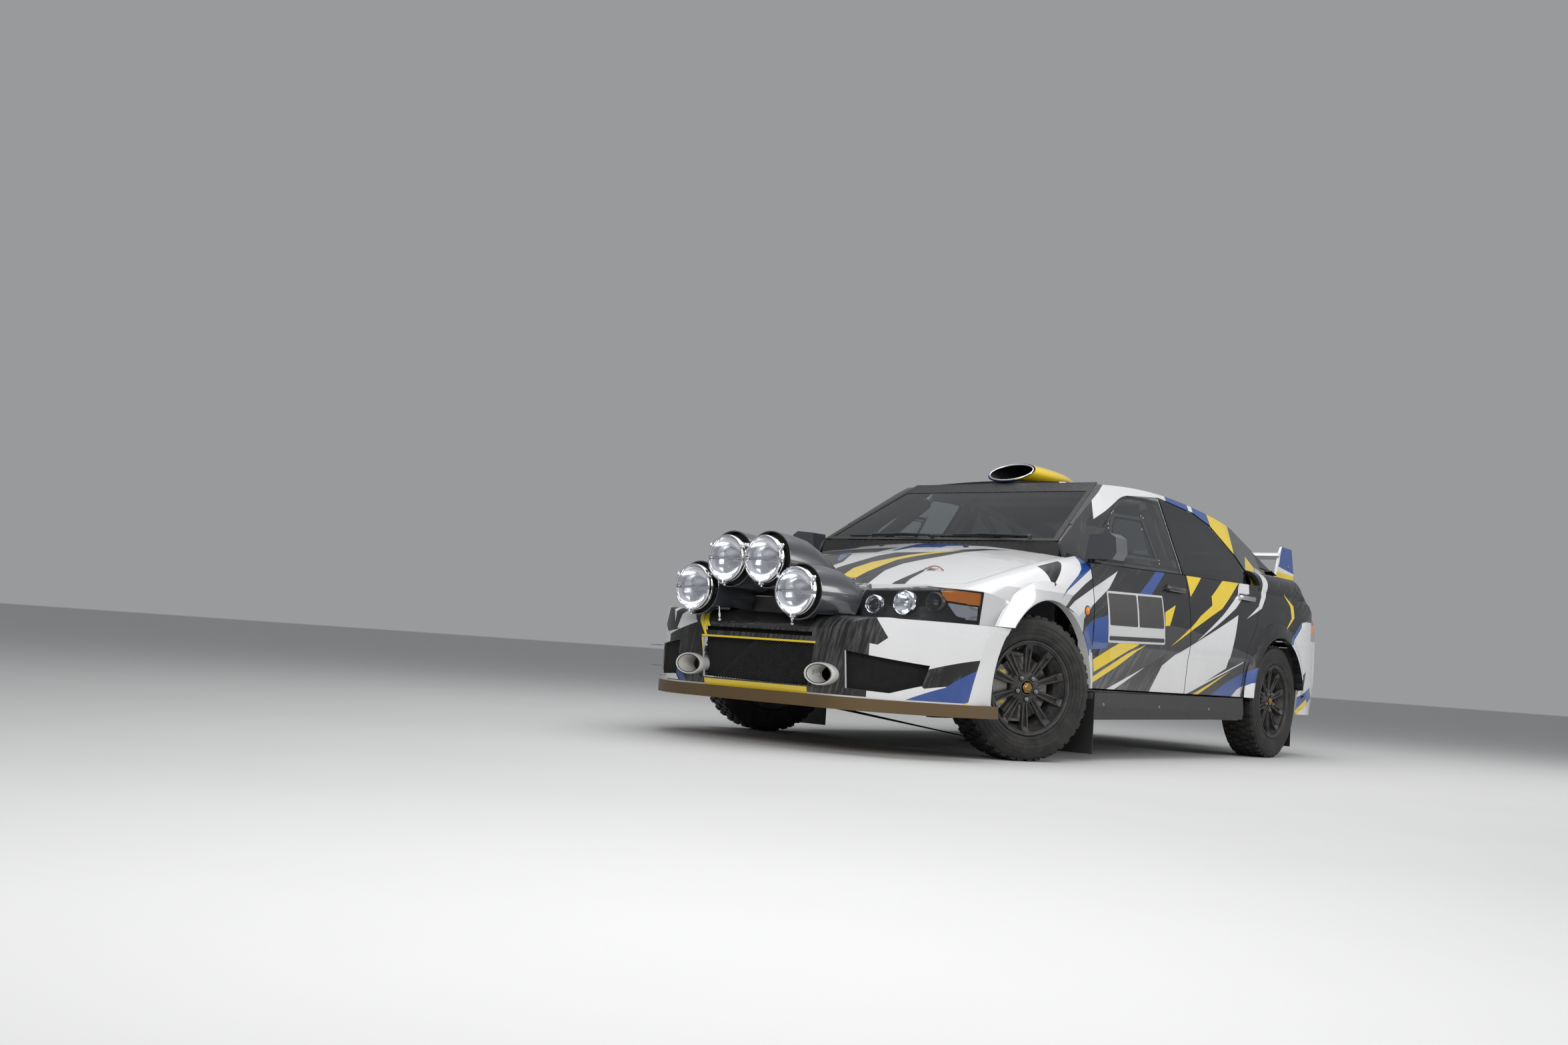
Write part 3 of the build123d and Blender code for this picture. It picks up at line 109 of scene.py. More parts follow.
# Materials
class Finish:
    """One material and its nodes, on Object coordinates."""

    def __init__(self, name):
        self.material = bpy.data.materials.new(name)
        self.material.use_nodes = True
        self.tree = self.material.node_tree
        self.shader = self.tree.nodes["Principled BSDF"]
        self.place = self.add("ShaderNodeTexCoord").outputs["Object"]

    def add(self, kind, **inputs):
        node = self.tree.nodes.new(kind)
        for name, value in inputs.items():
            self.feed(node, name.replace("_", " "), value)
        return node

    def feed(self, node, name, value):
        socket = node.inputs[int(name)] if name.isdigit() else node.inputs[name]
        if isinstance(value, bpy.types.NodeSocket):
            self.tree.links.new(value, socket)
        else:
            socket.default_value = value

    def set(self, **values):
        for name, value in values.items():
            self.feed(self.shader, name.replace("_", " "), tuple(value) + (1,) if len_of(value) == 3 else value)
        return self

    def math(self, operation, *values):
        node = self.add("ShaderNodeMath")
        node.operation = operation
        for i, value in enumerate(values):
            self.feed(node, str(i), value)
        return node.outputs[0]

    def axes(self, place=None):
        node = self.add("ShaderNodeSeparateXYZ", Vector=place or self.place)
        return node.outputs[0], node.outputs[1], node.outputs[2]

    def mapped(self, scale=(1, 1, 1), turn=(0, 0, 0), place=None):
        node = self.add("ShaderNodeMapping", Vector=place or self.place, Rotation=turn, Scale=scale)
        return node.outputs[0]

    def noise(self, scale, detail=3.0, roughness=0.55, place=None):
        return self.add("ShaderNodeTexNoise", Vector=place or self.place, Scale=scale, Detail=detail,
                        Roughness=roughness).outputs["Fac"]

    def ramp(self, value, *stops):
        node = self.add("ShaderNodeValToRGB", Fac=value)
        while len(node.color_ramp.elements) < len(stops):
            node.color_ramp.elements.new(0.5)
        for element, (position, colour) in zip(node.color_ramp.elements, stops):
            element.position = position
            element.color = (colour,) * 3 + (1,) if isinstance(colour, (int, float)) else tuple(colour) + (1,)
        return node.outputs[0]

    def mix(self, factor, a, b, blend="MIX"):
        node = self.tree.nodes.new("ShaderNodeMix")
        node.data_type = "RGBA"
        node.blend_type = blend
        for index, value in ((0, factor), (6, a), (7, b)):
            value = tuple(value) + (1,) if len_of(value) == 3 else value
            self.feed(node, str(index), value)
        return node.outputs[2]

    def bump(self, height, distance, strength=1.0):
        node = self.add("ShaderNodeBump", Height=height, Distance=distance, Strength=strength)
        self.feed(self.shader, "Normal", node.outputs[0])
        return self


def len_of(value):
    return len(value) if isinstance(value, (tuple, list)) or hasattr(value, "__len__") else 0


def shade(colour, factor):
    return tuple(min(1.0, c * factor) for c in colour)


def paint(name, colour, dust=0.35):
    """Gloss paint with a little orange peel and dust low down."""
    f = Finish(name)
    _, _, height = f.axes()
    cloud = f.noise(3.5, 4)
    low = f.math("MULTIPLY_ADD", height, -2.1, 1.25)
    soil = f.math("MULTIPLY", f.math("MULTIPLY", low, f.noise(9, 6, 0.7)), dust)
    soil.node.use_clamp = True
    base = f.mix(cloud, shade(colour, 0.93), shade(colour, 1.04))
    dusty = f.mix(soil, base, (0.30, 0.27, 0.23))
    f.set(Base_Color=dusty, Roughness=f.math("MULTIPLY_ADD", soil, 0.6, 0.26), Coat_Weight=0.9, Coat_Roughness=0.06,
          Specular_IOR_Level=0.5)
    return f.bump(f.noise(620, 2), 0.00012, 0.35).material


def brushed_vinyl(name, dark, light, turn, stretch=14):
    """Dark wrap with streaks that run one way, as if wiped with a dry brush."""
    f = Finish(name)
    streaks = f.noise(5.2, 7, 0.68, f.mapped((1.2, 1, stretch), place=f.mapped(turn=turn)))
    patches = f.noise(1.7, 2)
    mask = f.math("MULTIPLY", streaks, f.math("MULTIPLY_ADD", patches, 1.1, 0.45))
    base = f.ramp(mask, (0.50, dark), (0.66, light), (0.80, shade(light, 1.6)))
    _, _, height = f.axes()
    soil = f.math("MULTIPLY", f.math("MULTIPLY_ADD", height, -1.7, 0.95), f.noise(7, 6, 0.7))
    soil.node.use_clamp = True
    f.set(Base_Color=f.mix(f.math("MULTIPLY", soil, 0.4), base, (0.16, 0.145, 0.125)), Roughness=0.32,
          Coat_Weight=0.35, Coat_Roughness=0.07, Specular_IOR_Level=0.3)
    return f.bump(f.noise(500, 2), 0.0001, 0.3).material


def carbon(name, pitch=0.0032, tint=(0.010, 0.011, 0.013)):
    """Lacquered twill: bundles of fibre that pass over and under each other."""
    f = Finish(name)
    x, y, z = f.axes()
    across = f.math("DIVIDE", f.math("ADD", x, f.math("MULTIPLY", z, 0.55)), pitch)
    along = f.math("DIVIDE", f.math("ADD", y, f.math("MULTIPLY", z, 0.8)), pitch)
    step = f.math("FRACT", f.math("MULTIPLY", f.math("ADD", f.math("FLOOR", across), f.math("FLOOR", along)), 0.25))
    over = f.math("LESS_THAN", step, 0.45)
    fibre_a = f.math("SINE", f.math("MULTIPLY", across, 3.14159))
    fibre_b = f.math("SINE", f.math("MULTIPLY", along, 3.14159))
    crown = f.mix(over, fibre_a, fibre_b)
    base = f.mix(over, tint, shade(tint, 4.2))
    f.set(Base_Color=f.mix(f.math("MULTIPLY", f.noise(2.5, 3), 0.5), base, shade(tint, 6)), Roughness=0.34,
          Coat_Weight=1.0, Coat_Roughness=0.09, Specular_IOR_Level=0.6)
    return f.bump(f.math("ABSOLUTE", crown), 0.0002, 0.5).material


def plastic(name, colour, grain=900, roughness=0.55, dust=0.25):
    """Moulded plastic with a fine grain and patches of dust."""
    f = Finish(name)
    soil = f.math("MULTIPLY", f.noise(11, 6, 0.7), dust)
    f.set(Base_Color=f.mix(soil, colour, (0.075, 0.068, 0.06)),
          Roughness=f.math("MULTIPLY_ADD", f.noise(40, 3), 0.2, roughness - 0.1))
    return f.bump(f.noise(grain, 2), 0.0002, 0.5).material


def metal(name, colour, roughness=0.25, brushed=(1, 1, 1), wear=0.2):
    """Bare or plated metal, brushed along one axis where it is stretched."""
    f = Finish(name)
    grain = f.noise(60, 4, 0.6, f.mapped(brushed))
    f.set(Base_Color=f.mix(f.math("MULTIPLY", f.noise(8, 4), wear), colour, shade(colour, 0.45)), Metallic=1.0,
          Roughness=f.math("MULTIPLY_ADD", grain, roughness * 0.8, roughness * 0.6))
    return f.bump(grain, 0.00015, 0.35).material


def satin_coat(name, colour, dust=(0.12, 0.11, 0.1), amount=0.5, roughness=0.42):
    """Powder coat that has picked up dust and brake dirt."""
    f = Finish(name)
    dirt = f.math("MULTIPLY", f.ramp(f.noise(24, 8, 0.72), (0.35, 0.0), (0.75, 1.0)), amount)
    f.set(Base_Color=f.mix(dirt, colour, dust), Roughness=f.math("MULTIPLY_ADD", dirt, 0.4, roughness))
    return f.bump(f.noise(700, 3), 0.00015, 0.5).material


def tyre_rubber(name):
    """Rubber with moulding grain, patches of dust and scuffs."""
    f = Finish(name)
    dust = f.ramp(f.noise(16, 9, 0.7), (0.42, 0.0), (0.78, 1.0))
    f.set(Base_Color=f.mix(f.math("MULTIPLY", dust, 0.55), (0.013, 0.013, 0.013), (0.085, 0.078, 0.068)),
          Roughness=f.math("MULTIPLY_ADD", dust, 0.25, 0.58), Specular_IOR_Level=0.35)
    return f.bump(f.math("ADD", f.noise(420, 4), f.math("MULTIPLY", f.noise(60, 5), 0.6)), 0.0004, 0.6).material


def tinted_glass(name, colour, smoke=0.0, transmission=1.0):
    """Glass or clear sheet with a faint film of dust."""
    f = Finish(name)
    film = f.ramp(f.noise(6, 8, 0.75), (0.5, 0.0), (0.85, 1.0))
    f.set(Base_Color=colour, Roughness=f.math("MULTIPLY_ADD", film, 0.08, smoke), Transmission_Weight=transmission,
          IOR=1.45, Specular_IOR_Level=0.5)
    return f.bump(f.noise(2.0, 2), 0.0004, 0.15).material


def fluted_glass(name, pitch=0.010):
    """Clear lens whose inside is pressed into upright flutes."""
    f = Finish(name)
    x, _, z = f.axes()
    flute = f.math("ABSOLUTE", f.math("SINE", f.math("MULTIPLY", x, 3.14159 / pitch)))
    low = f.math("LESS_THAN", z, 0.70)
    film = f.ramp(f.noise(9, 8, 0.75), (0.5, 0.0), (0.85, 1.0))
    f.set(Base_Color=(0.97, 0.98, 1.0), Roughness=f.math("MULTIPLY", film, 0.07), Transmission_Weight=1.0, IOR=1.45)
    return f.bump(f.math("MULTIPLY", flute, f.math("MULTIPLY_ADD", low, 0.5, 0.4)), 0.0007, 0.5).material


def woven(name, colour, back, pitch=0.0016, roughness=0.85, sheen=0.4):
    """Plain weave cloth."""
    f = Finish(name)
    x, y, z = f.axes()
    warp = f.math("SINE", f.math("MULTIPLY", f.math("ADD", x, f.math("MULTIPLY", z, 0.37)), 6.28318 / pitch))
    weft = f.math("SINE", f.math("MULTIPLY", f.math("ADD", y, z), 6.28318 / pitch))
    thread = f.math("MULTIPLY", warp, weft)
    f.set(Base_Color=f.mix(f.math("MULTIPLY_ADD", thread, 0.5, 0.5), back, colour), Roughness=roughness,
          Sheen_Weight=sheen)
    return f.bump(thread, 0.0003, 0.6).material


def hex_gauze(name, colour, pitch=0.0042):
    """Bronze coloured weave, dusty, for the lip."""
    f = Finish(name)
    x, y, z = f.axes()
    warp = f.math("SINE", f.math("MULTIPLY", f.math("ADD", x, f.math("MULTIPLY", y, 0.9)), 6.28318 / pitch))
    weft = f.math("SINE", f.math("MULTIPLY", f.math("ADD", z, f.math("MULTIPLY", x, 0.04)), 6.28318 / pitch))
    thread = f.math("MAXIMUM", f.math("ABSOLUTE", warp), f.math("ABSOLUTE", weft))
    wear = f.ramp(f.noise(13, 8, 0.7), (0.35, 0.0), (0.7, 1.0))
    base = f.mix(f.math("POWER", thread, 3.0), (0.012, 0.009, 0.006), colour)
    f.set(Base_Color=f.mix(f.math("MULTIPLY", wear, 0.35), base, (0.10, 0.085, 0.06)), Roughness=0.5, Metallic=0.35)
    return f.bump(thread, 0.0007, 0.9).material


MADE = {}


def finish(name):
    """The material of that name, made once."""
    if name not in MADE:
        MADE[name] = FINISHES[name]()
    return MADE[name]


FINISHES = {
    "white paint": lambda: paint("white_paint", colours().white),
    "soft grey paint": lambda: paint("soft_grey_paint", (0.52, 0.52, 0.525)),
    "yellow vinyl": lambda: paint("yellow_vinyl", colours().yellow),
    "blue vinyl": lambda: paint("blue_vinyl", colours().blue),
    "charcoal side": lambda: brushed_vinyl("charcoal_side", colours().charcoal, (0.042, 0.042, 0.045),
                                           (math.radians(-31), 0, 0)),
    "charcoal front": lambda: brushed_vinyl("charcoal_front", colours().charcoal, (0.06, 0.06, 0.063),
                                            (0, math.radians(78), 0)),
    "charcoal hood": lambda: brushed_vinyl("charcoal_hood", colours().charcoal, (0.05, 0.05, 0.052),
                                           (0, math.radians(90), math.radians(12))),
    "grey vinyl": lambda: brushed_vinyl("grey_vinyl", (0.045, 0.045, 0.048), (0.12, 0.12, 0.125),
                                        (math.radians(-48), 0, 0), 8),
    "panel white": lambda: paint("panel_white", (0.62, 0.62, 0.62), 0.2),
    "panel dark": lambda: plastic("panel_dark", (0.028, 0.028, 0.03), roughness=0.4),
    "carbon": lambda: carbon("carbon_twill"),
    "black gloss": lambda: paint("black_gloss", (0.012, 0.012, 0.013), 0.15),
    "black plastic": lambda: plastic("black_plastic", (0.018, 0.018, 0.019)),
    "grey plastic": lambda: plastic("grey_plastic", (0.10, 0.10, 0.105)),
    # Grey paint of the body's inside, the doors' inner skins and the wheel wells, set darker than its real light grey
    # as painted shade
    "inner grey with painted shade": lambda: paint("inner_paint", (0.20, 0.20, 0.205), 0.5),
    "cage paint": lambda: paint("cage_paint", (0.62, 0.63, 0.64), 0.1),
    "underbody": lambda: satin_coat("underbody_coat", (0.02, 0.02, 0.021), amount=0.7, roughness=0.7),
    "rubber": lambda: plastic("seal_rubber", (0.010, 0.010, 0.010), 500, 0.6, 0.15),
    "tyre": lambda: tyre_rubber("tyre_rubber"),
    "wheel coat": lambda: satin_coat("wheel_coat", (0.016, 0.016, 0.017), amount=0.55),
    "chrome": lambda: metal("chrome", (0.86, 0.86, 0.88), 0.06, wear=0.08),
    "silver": lambda: metal("silver", (0.62, 0.62, 0.64), 0.3),
    "steel": lambda: metal("steel", (0.33, 0.33, 0.34), 0.38, (1, 30, 30)),
    "dark steel": lambda: metal("dark_steel", (0.10, 0.10, 0.105), 0.5),
    "bronze": lambda: metal("bronze", (0.42, 0.26, 0.10), 0.35),
    "brake iron": lambda: metal("brake_iron", (0.36, 0.34, 0.32), 0.34, (1, 60, 60), 0.4),
    "red anodised": lambda: metal("red_anodised", (0.55, 0.02, 0.02), 0.22),
    "duct silver": lambda: paint("duct_silver", (0.66, 0.65, 0.62), 0.5),
    "dark glass": lambda: tinted_glass("dark_glass", (0.12, 0.13, 0.135)),
    "screen glass": lambda: tinted_glass("screen_glass", (0.42, 0.46, 0.46)),
    "clear sheet": lambda: tinted_glass("clear_sheet", (0.74, 0.78, 0.80), 0.02),
    "lens glass": lambda: tinted_glass("lens_glass", (0.97, 0.98, 1.0)),
    "smoked lens": lambda: tinted_glass("smoked_lens", (0.80, 0.82, 0.85)),
    "amber lens": lambda: tinted_glass("amber_lens", (1.0, 0.30, 0.02), 0.08, 0.25),
    "red lens": lambda: tinted_glass("red_lens", (0.70, 0.012, 0.010), 0.06, 0.4),
    "seat cloth": lambda: woven("seat_cloth", (0.035, 0.035, 0.038), (0.008, 0.008, 0.009)),
    "harness": lambda: woven("harness_webbing", (0.34, 0.015, 0.012), (0.09, 0.004, 0.004), 0.0024, 0.7),
    "suede": lambda: woven("wheel_suede", (0.03, 0.03, 0.03), (0.014, 0.014, 0.014), 0.0009, 0.95, 0.8),
    "foam": lambda: plastic("cage_foam", (0.022, 0.022, 0.023), 220, 0.9),
    "lip weave": lambda: hex_gauze("lip_weave", colours().lip),
    "mirror": lambda: metal("mirror_glass", (0.86, 0.88, 0.90), 0.02, wear=0.02),
    "reflector": lambda: metal("reflector", (0.90, 0.90, 0.92), 0.16, wear=0.05),
    "fluted glass": lambda: fluted_glass("fluted_glass"),
    "grille wire": lambda: satin_coat("grille_wire", (0.016, 0.016, 0.017), amount=0.3, roughness=0.5),
    # Near-black, matt finish that is painted shade: it stands for the shade behind the grille and inside the roof scoop
    "painted shade black": lambda: plastic("painted_shade_black", (0.004, 0.004, 0.004), roughness=0.95, dust=0.05),
    "lamp black": lambda: plastic("lamp_black", (0.02, 0.02, 0.021), roughness=0.35),
    "pad cloth": lambda: woven("pad_cloth", (0.05, 0.05, 0.055), (0.014, 0.014, 0.016), 0.0022),
    "lanyard red": lambda: woven("lanyard_red", (0.50, 0.012, 0.01), (0.16, 0.004, 0.004), 0.0012, 0.5, 0.1),
    "bottle red": lambda: paint("bottle_red", (0.45, 0.01, 0.01), 0.1),
    "black vinyl": lambda: plastic("black_vinyl", (0.008, 0.008, 0.009), 300, 0.28, 0.05),
}


# Meshes
def surface(*names):
    """A tree of the faces of some CAD nodes, for laying trim on them."""
    points, faces = [], []
    for name in names:
        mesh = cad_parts[name].data
        offset = len(points)
        points += [v.co.copy() for v in mesh.vertices]
        faces += [[i + offset for i in p.vertices] for p in mesh.polygons]
    return BVHTree.FromPolygons(points, faces)


def hit(tree, point, direction):
    """Where a ray from outside meets the surface, with its normal."""
    direction = Vector(direction).normalized()
    spot, normal, _, _ = tree.ray_cast(Vector(point) - direction * 3, direction, 6)
    return spot, normal


def lay_on(bm, tree, direction, lift=0.0):
    """Shift a flat-built piece along a direction so that it follows the surface under it."""
    direction = Vector(direction).normalized()
    for vert in bm.verts:
        depth = vert.co.dot(direction)
        spot, _ = hit(tree, vert.co - direction * depth, direction)
        if spot is None:
            spot, _, _, _ = tree.find_nearest(vert.co)
        vert.co += direction * (spot.dot(direction) - lift)
    return bm


def piece(bm, name, body, *materials, smooth=32, stands_for=(), tidy=True):
    """Turn a bmesh into a finished object that rides on a body."""
    if tidy:
        bmesh.ops.remove_doubles(bm, verts=bm.verts, dist=1e-6)
        bmesh.ops.recalc_face_normals(bm, faces=bm.faces)
    for face in bm.faces:
        face.smooth = smooth > 0
    limit = math.radians(smooth)
    for edge in bm.edges:
        edge.smooth = len(edge.link_faces) == 2 and edge.calc_face_angle(0) < limit
    mesh = bpy.data.meshes.new(name)
    bm.to_mesh(mesh)
    bm.free()
    for material in materials:
        mesh.materials.append(finish(material))
    item = bpy.data.objects.new(name, mesh)
    bpy.context.scene.collection.objects.link(item)
    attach(item, body)
    if stands_for:
        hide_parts(*stands_for)
    return item


def mark(faces, index):
    for face in faces:
        face.material_index = index


def moved(bm, start, matrix):
    """Apply a matrix to the vertices made since start."""
    bm.verts.ensure_lookup_table()
    fresh = bm.verts[start:]
    bmesh.ops.transform(bm, matrix=matrix, verts=fresh)


def each_once(items):
    """The items in their order without repeats; a set's order would change from run to run."""
    return list(dict.fromkeys(items))


def faces_at(verts):
    """Faces that meet at any of the vertices."""
    return each_once(f for v in verts for f in v.link_faces)


def edges_of(faces):
    return each_once(e for f in faces for e in f.edges)


def corners_of(faces):
    return each_once(v for f in faces for v in f.verts)


def region(faces):
    """Faces with their edges and vertices, as bisect_plane takes them."""
    return list(faces) + edges_of(faces) + corners_of(faces)


def soften(bm, faces, offset, segments=2):
    """Round the edges of some faces."""
    bmesh.ops.bevel(bm, geom=edges_of(faces), offset=offset, affect="EDGES", segments=segments, profile=0.5,
                    material=-1)


def kind_of(geometry, kind):
    """The members of a bmesh operator's result that are of one kind."""
    return [g for g in geometry if isinstance(g, kind)]


def add_box(bm, low, high, bevel=0.0, index=0, segments=2, matrix=None):
    """Box between two corners, its edges rounded."""
    low, high = Vector(low), Vector(high)
    place = Matrix.Translation((low + high) / 2) @ Matrix.Diagonal((*(high - low), 1))
    if matrix is not None:
        place = matrix @ place
    faces = faces_at(bmesh.ops.create_cube(bm, size=1, matrix=place)["verts"])
    mark(faces, index)
    if bevel:
        soften(bm, faces, bevel, segments)


def add_lathe(bm, profile, frame_matrix, segments=48, index=0, closed=False):
    """Spin a profile of (radius, along) about the local X axis."""
    verts = [bm.verts.new(frame_matrix @ Vector((along, 0, radius))) for radius, along in profile]
    pairs = list(zip(verts, verts[1:]))
    if closed:
        pairs.append((verts[-1], verts[0]))
    edges = [bm.edges.new(pair) for pair in pairs]
    centre = frame_matrix @ Vector((0, 0, 0))
    axis = (frame_matrix.to_3x3() @ Vector((1, 0, 0))).normalized()
    before = set(bm.faces)
    bmesh.ops.spin(bm, geom=verts + edges, cent=centre, axis=axis, angle=2 * math.pi, steps=segments,
                   use_merge=True)
    fresh = [f for f in bm.faces if f not in before]
    mark(fresh, index)
    return fresh


def add_rod(bm, a, b, radius, index=0, segments=12):
    """Round bar between two points."""
    a, b = Vector(a), Vector(b)
    along = b - a
    matrix = Matrix.Translation((a + b) / 2) @ along.to_track_quat("Z", "Y").to_matrix().to_4x4()
    made = bmesh.ops.create_cone(bm, cap_ends=True, segments=segments, radius1=radius, radius2=radius,
                                 depth=along.length, matrix=matrix)
    mark(faces_at(made["verts"]), index)


def add_ball(bm, centre, radius, index=0, scale=(1, 1, 1), segments=12):
    matrix = Matrix.Translation(centre) @ Matrix.Diagonal((*scale, 1))
    made = bmesh.ops.create_uvsphere(bm, u_segments=segments, v_segments=max(6, segments // 2), radius=radius,
                                     matrix=matrix)
    mark(faces_at(made["verts"]), index)


def add_wire(bm, points, radius, index=0, cyclic=False, resolution=3, smooth=True):
    """Bent rod along a smooth line through the points."""
    curve = bpy.data.curves.new("wire", "CURVE")
    curve.dimensions = "3D"
    curve.bevel_depth = radius
    curve.bevel_resolution = resolution
    curve.use_fill_caps = True
    spline = curve.splines.new("NURBS" if smooth else "POLY")
    spline.points.add(len(points) - 1)
    for target, point in zip(spline.points, points):
        target.co = (*point, 1)
    if smooth:
        spline.order_u = 3
        spline.use_endpoint_u = not cyclic
        spline.resolution_u = 4
    spline.use_cyclic_u = cyclic
    holder = bpy.data.objects.new("wire", curve)
    mesh = bpy.data.meshes.new_from_object(holder)
    before = len(bm.faces)
    bm.from_mesh(mesh)
    bm.faces.ensure_lookup_table()
    mark(bm.faces[before:], index)
    bpy.data.objects.remove(holder)
    bpy.data.curves.remove(curve)
    bpy.data.meshes.remove(mesh)


def add_sheet(bm, outline, depth, direction, index=0, cuts=0.0):
    """Flat plate from an outline of points, thickened along a direction; cuts divide it for laying on a curve."""
    verts = [bm.verts.new(p) for p in outline]
    faces = [bm.faces.new(verts)]
    if cuts:
        low = [min(v.co[i] for v in verts) for i in range(3)]
        high = [max(v.co[i] for v in verts) for i in range(3)]
        for axis in range(3):
            if high[axis] - low[axis] < cuts:
                continue
            count = int((high[axis] - low[axis]) / cuts)
            for step in range(1, count + 1):
                spot = [0, 0, 0]
                spot[axis] = low[axis] + (high[axis] - low[axis]) * step / (count + 1)
                normal = [0, 0, 0]
                normal[axis] = 1
                out = bmesh.ops.bisect_plane(bm, geom=region(faces), dist=1e-7, plane_co=spot, plane_no=normal)
                faces = kind_of(out["geom"], bmesh.types.BMFace)
    mark(faces, index)
    if depth:
        shift = Vector(direction).normalized() * depth
        top = kind_of(bmesh.ops.extrude_face_region(bm, geom=faces)["geom"], bmesh.types.BMVert)
        bmesh.ops.translate(bm, vec=shift, verts=top)
        mark(faces_at(top), index)
    return faces


def inset_loop(points, distance):
    """The outline moved inwards by a distance, in its own plane of two axes."""
    result = []
    count = len(points)
    area = sum(points[i][0] * points[(i + 1) % count][1] - points[(i + 1) % count][0] * points[i][1]
               for i in range(count))
    turn = 1 if area > 0 else -1
    for i, (x, y) in enumerate(points):
        ax, ay = points[i - 1]
        bx, by = points[(i + 1) % count]
        d1, d2 = Vector((x - ax, y - ay)).normalized(), Vector((bx - x, by - y)).normalized()
        n1, n2 = Vector((-d1.y, d1.x)) * turn, Vector((-d2.y, d2.x)) * turn
        bisector = (n1 + n2).normalized()
        reach = distance / max(0.35, bisector.dot(n1))
        result.append((x + bisector.x * reach, y + bisector.y * reach))
    return result


def add_band(bm, outer, inner, place, index=0):
    """Flat ring between two outlines of equal count."""
    count = len(outer)
    a = [bm.verts.new(place(*p)) for p in outer]
    b = [bm.verts.new(place(*p)) for p in inner]
    faces = [bm.faces.new((a[i], a[(i + 1) % count], b[(i + 1) % count], b[i])) for i in range(count)]
    mark(faces, index)


def rounded(points, radius, steps=4):
    """Round the corners of an outline."""
    result = []
    count = len(points)
    for i, corner in enumerate(points):
        corner = Vector(corner)
        before, after = Vector(points[i - 1]), Vector(points[(i + 1) % count])
        reach = min(radius, (before - corner).length * 0.45, (after - corner).length * 0.45)
        start = corner + (before - corner).normalized() * reach
        end = corner + (after - corner).normalized() * reach
        for step in range(steps + 1):
            t = step / steps
            result.append(tuple(start * (1 - t) ** 2 + corner * 2 * t * (1 - t) + end * t ** 2))
    return result


# Paint scheme: (finish, outline) in the side view as (station, height), in millimetres
SIDE_SCHEME = [
    ("soft grey paint", [(380, 566), (380, 748), (1240, 748), (1240, 566)]),
    ("soft grey paint", [(1035, 566), (1035, 748), (1348, 736), (1348, 566)]),
    ("grey vinyl", [(1345, 300), (1345, 700), (2400, 660), (3200, 560), (3200, 300)]),
    ("charcoal side", [(985, 860), (969, 771), (1163, 893), (1200, 1010), (1072, 1010)]),
    ("blue vinyl", [(1020, 725), (1262, 874), (1340, 945), (1380, 905), (1332, 878)]),
    ("charcoal side", [(1042, 689), (1270, 808), (1455, 890), (1500, 960), (1620, 960), (1610, 893), (1330, 750),
                       (1120, 668)]),
    ("soft grey paint", [(1180, 566), (1245, 660), (1345, 735), (1345, 700), (1262, 640), (1215, 570)]),
    ("charcoal side", [(1205, 575), (1262, 660), (1345, 725), (1345, 560), (1290, 520)]),
    ("white paint", [(1075, 686), (1330, 790), (1615, 897), (1500, 806), (1345, 724), (1190, 655)]),
    ("charcoal side", [(1316, 500), (1348, 720), (1480, 790), (1500, 690), (1420, 480)]),
    ("white paint", [(1345, 741), (1460, 795), (1500, 812), (1345, 722)]),
    ("blue vinyl", [(1213, 578), (1300, 625), (1345, 650), (1490, 682), (1490, 522), (1290, 508), (1273, 445)]),
    ("yellow vinyl", [(1376, 466), (1610, 556), (1818, 560), (1398, 410)]),
    ("yellow vinyl", [(1389, 386), (1700, 506), (1884, 561), (1640, 452), (1391, 357)]),
    ("white paint", [(1515, 326), (1911, 452), (1598, 326)]),
    ("blue vinyl", [(1790, 792), (2045, 936), (2140, 936), (1920, 795)]),
    ("yellow vinyl", [(2082, 664), (2082, 732), (2208, 776), (2133, 668)]),
    ("yellow vinyl", [(2390, 945), (2579, 950), (2397, 832)]),
    ("yellow vinyl", [(2148, 562), (2404, 685), (2502, 741), (2656, 806), (2660, 850), (2789, 800), (2635, 748),
                      (2404, 664)]),
    ("yellow vinyl", [(2656, 804), (2660, 853), (2870, 965), (3110, 985), (2789, 802)]),
    ("white paint", [(2453, 606), (2790, 766), (2985, 872), (3100, 920), (3120, 900), (2960, 810), (2700, 702)]),
    ("white paint", [(3010, 880), (3040, 925), (3200, 1100), (3260, 1100), (3180, 905)]),
    ("white paint", [(3095, 762), (3290, 846), (3352, 900), (3400, 985), (3470, 1100), (3520, 1100), (3475, 985),
                     (3420, 905), (3330, 835)]),
    ("white paint", [(1983, 331), (2093, 467), (2225, 527), (2985, 776), (2859, 482), (2404, 331)]),
    ("white paint", [(2410, 345), (3080, 527), (3080, 522), (2440, 341)]),
    ("yellow vinyl", [(2474, 331), (2929, 472), (2537, 331)]),
    ("blue vinyl", [(2698, 331), (2894, 412), (3240, 505), (3240, 420), (3160, 412), (3030, 372), (2964, 331)]),
    ("white paint", [(2964, 331), (3030, 372), (3160, 412), (3240, 420), (3240, 331)]),
    ("yellow vinyl", [(3640, 1000), (3699, 944), (3818, 881), (3806, 812), (3762, 804), (3770, 876)]),
    ("yellow vinyl", [(3657, 734), (3762, 806), (3806, 812), (3700, 752)]),
    ("white paint", [(3600, 300), (3560, 600), (3692, 640), (3923, 790), (4000, 800), (4600, 800), (4600, 200),
                     (3700, 200)]),
    ("blue vinyl", [(3640, 645), (3700, 665), (3923, 798), (3905, 760), (3735, 652)]),
    ("charcoal side", [(3830, 436), (4030, 505), (3985, 405), (3830, 365)]),
    ("blue vinyl", [(3830, 330), (3900, 350), (4140, 415), (4200, 350), (3880, 268), (3830, 268)]),
    ("yellow vinyl", [(3830, 240), (3888, 268), (4056, 345), (4090, 318), (3900, 236)]),
]
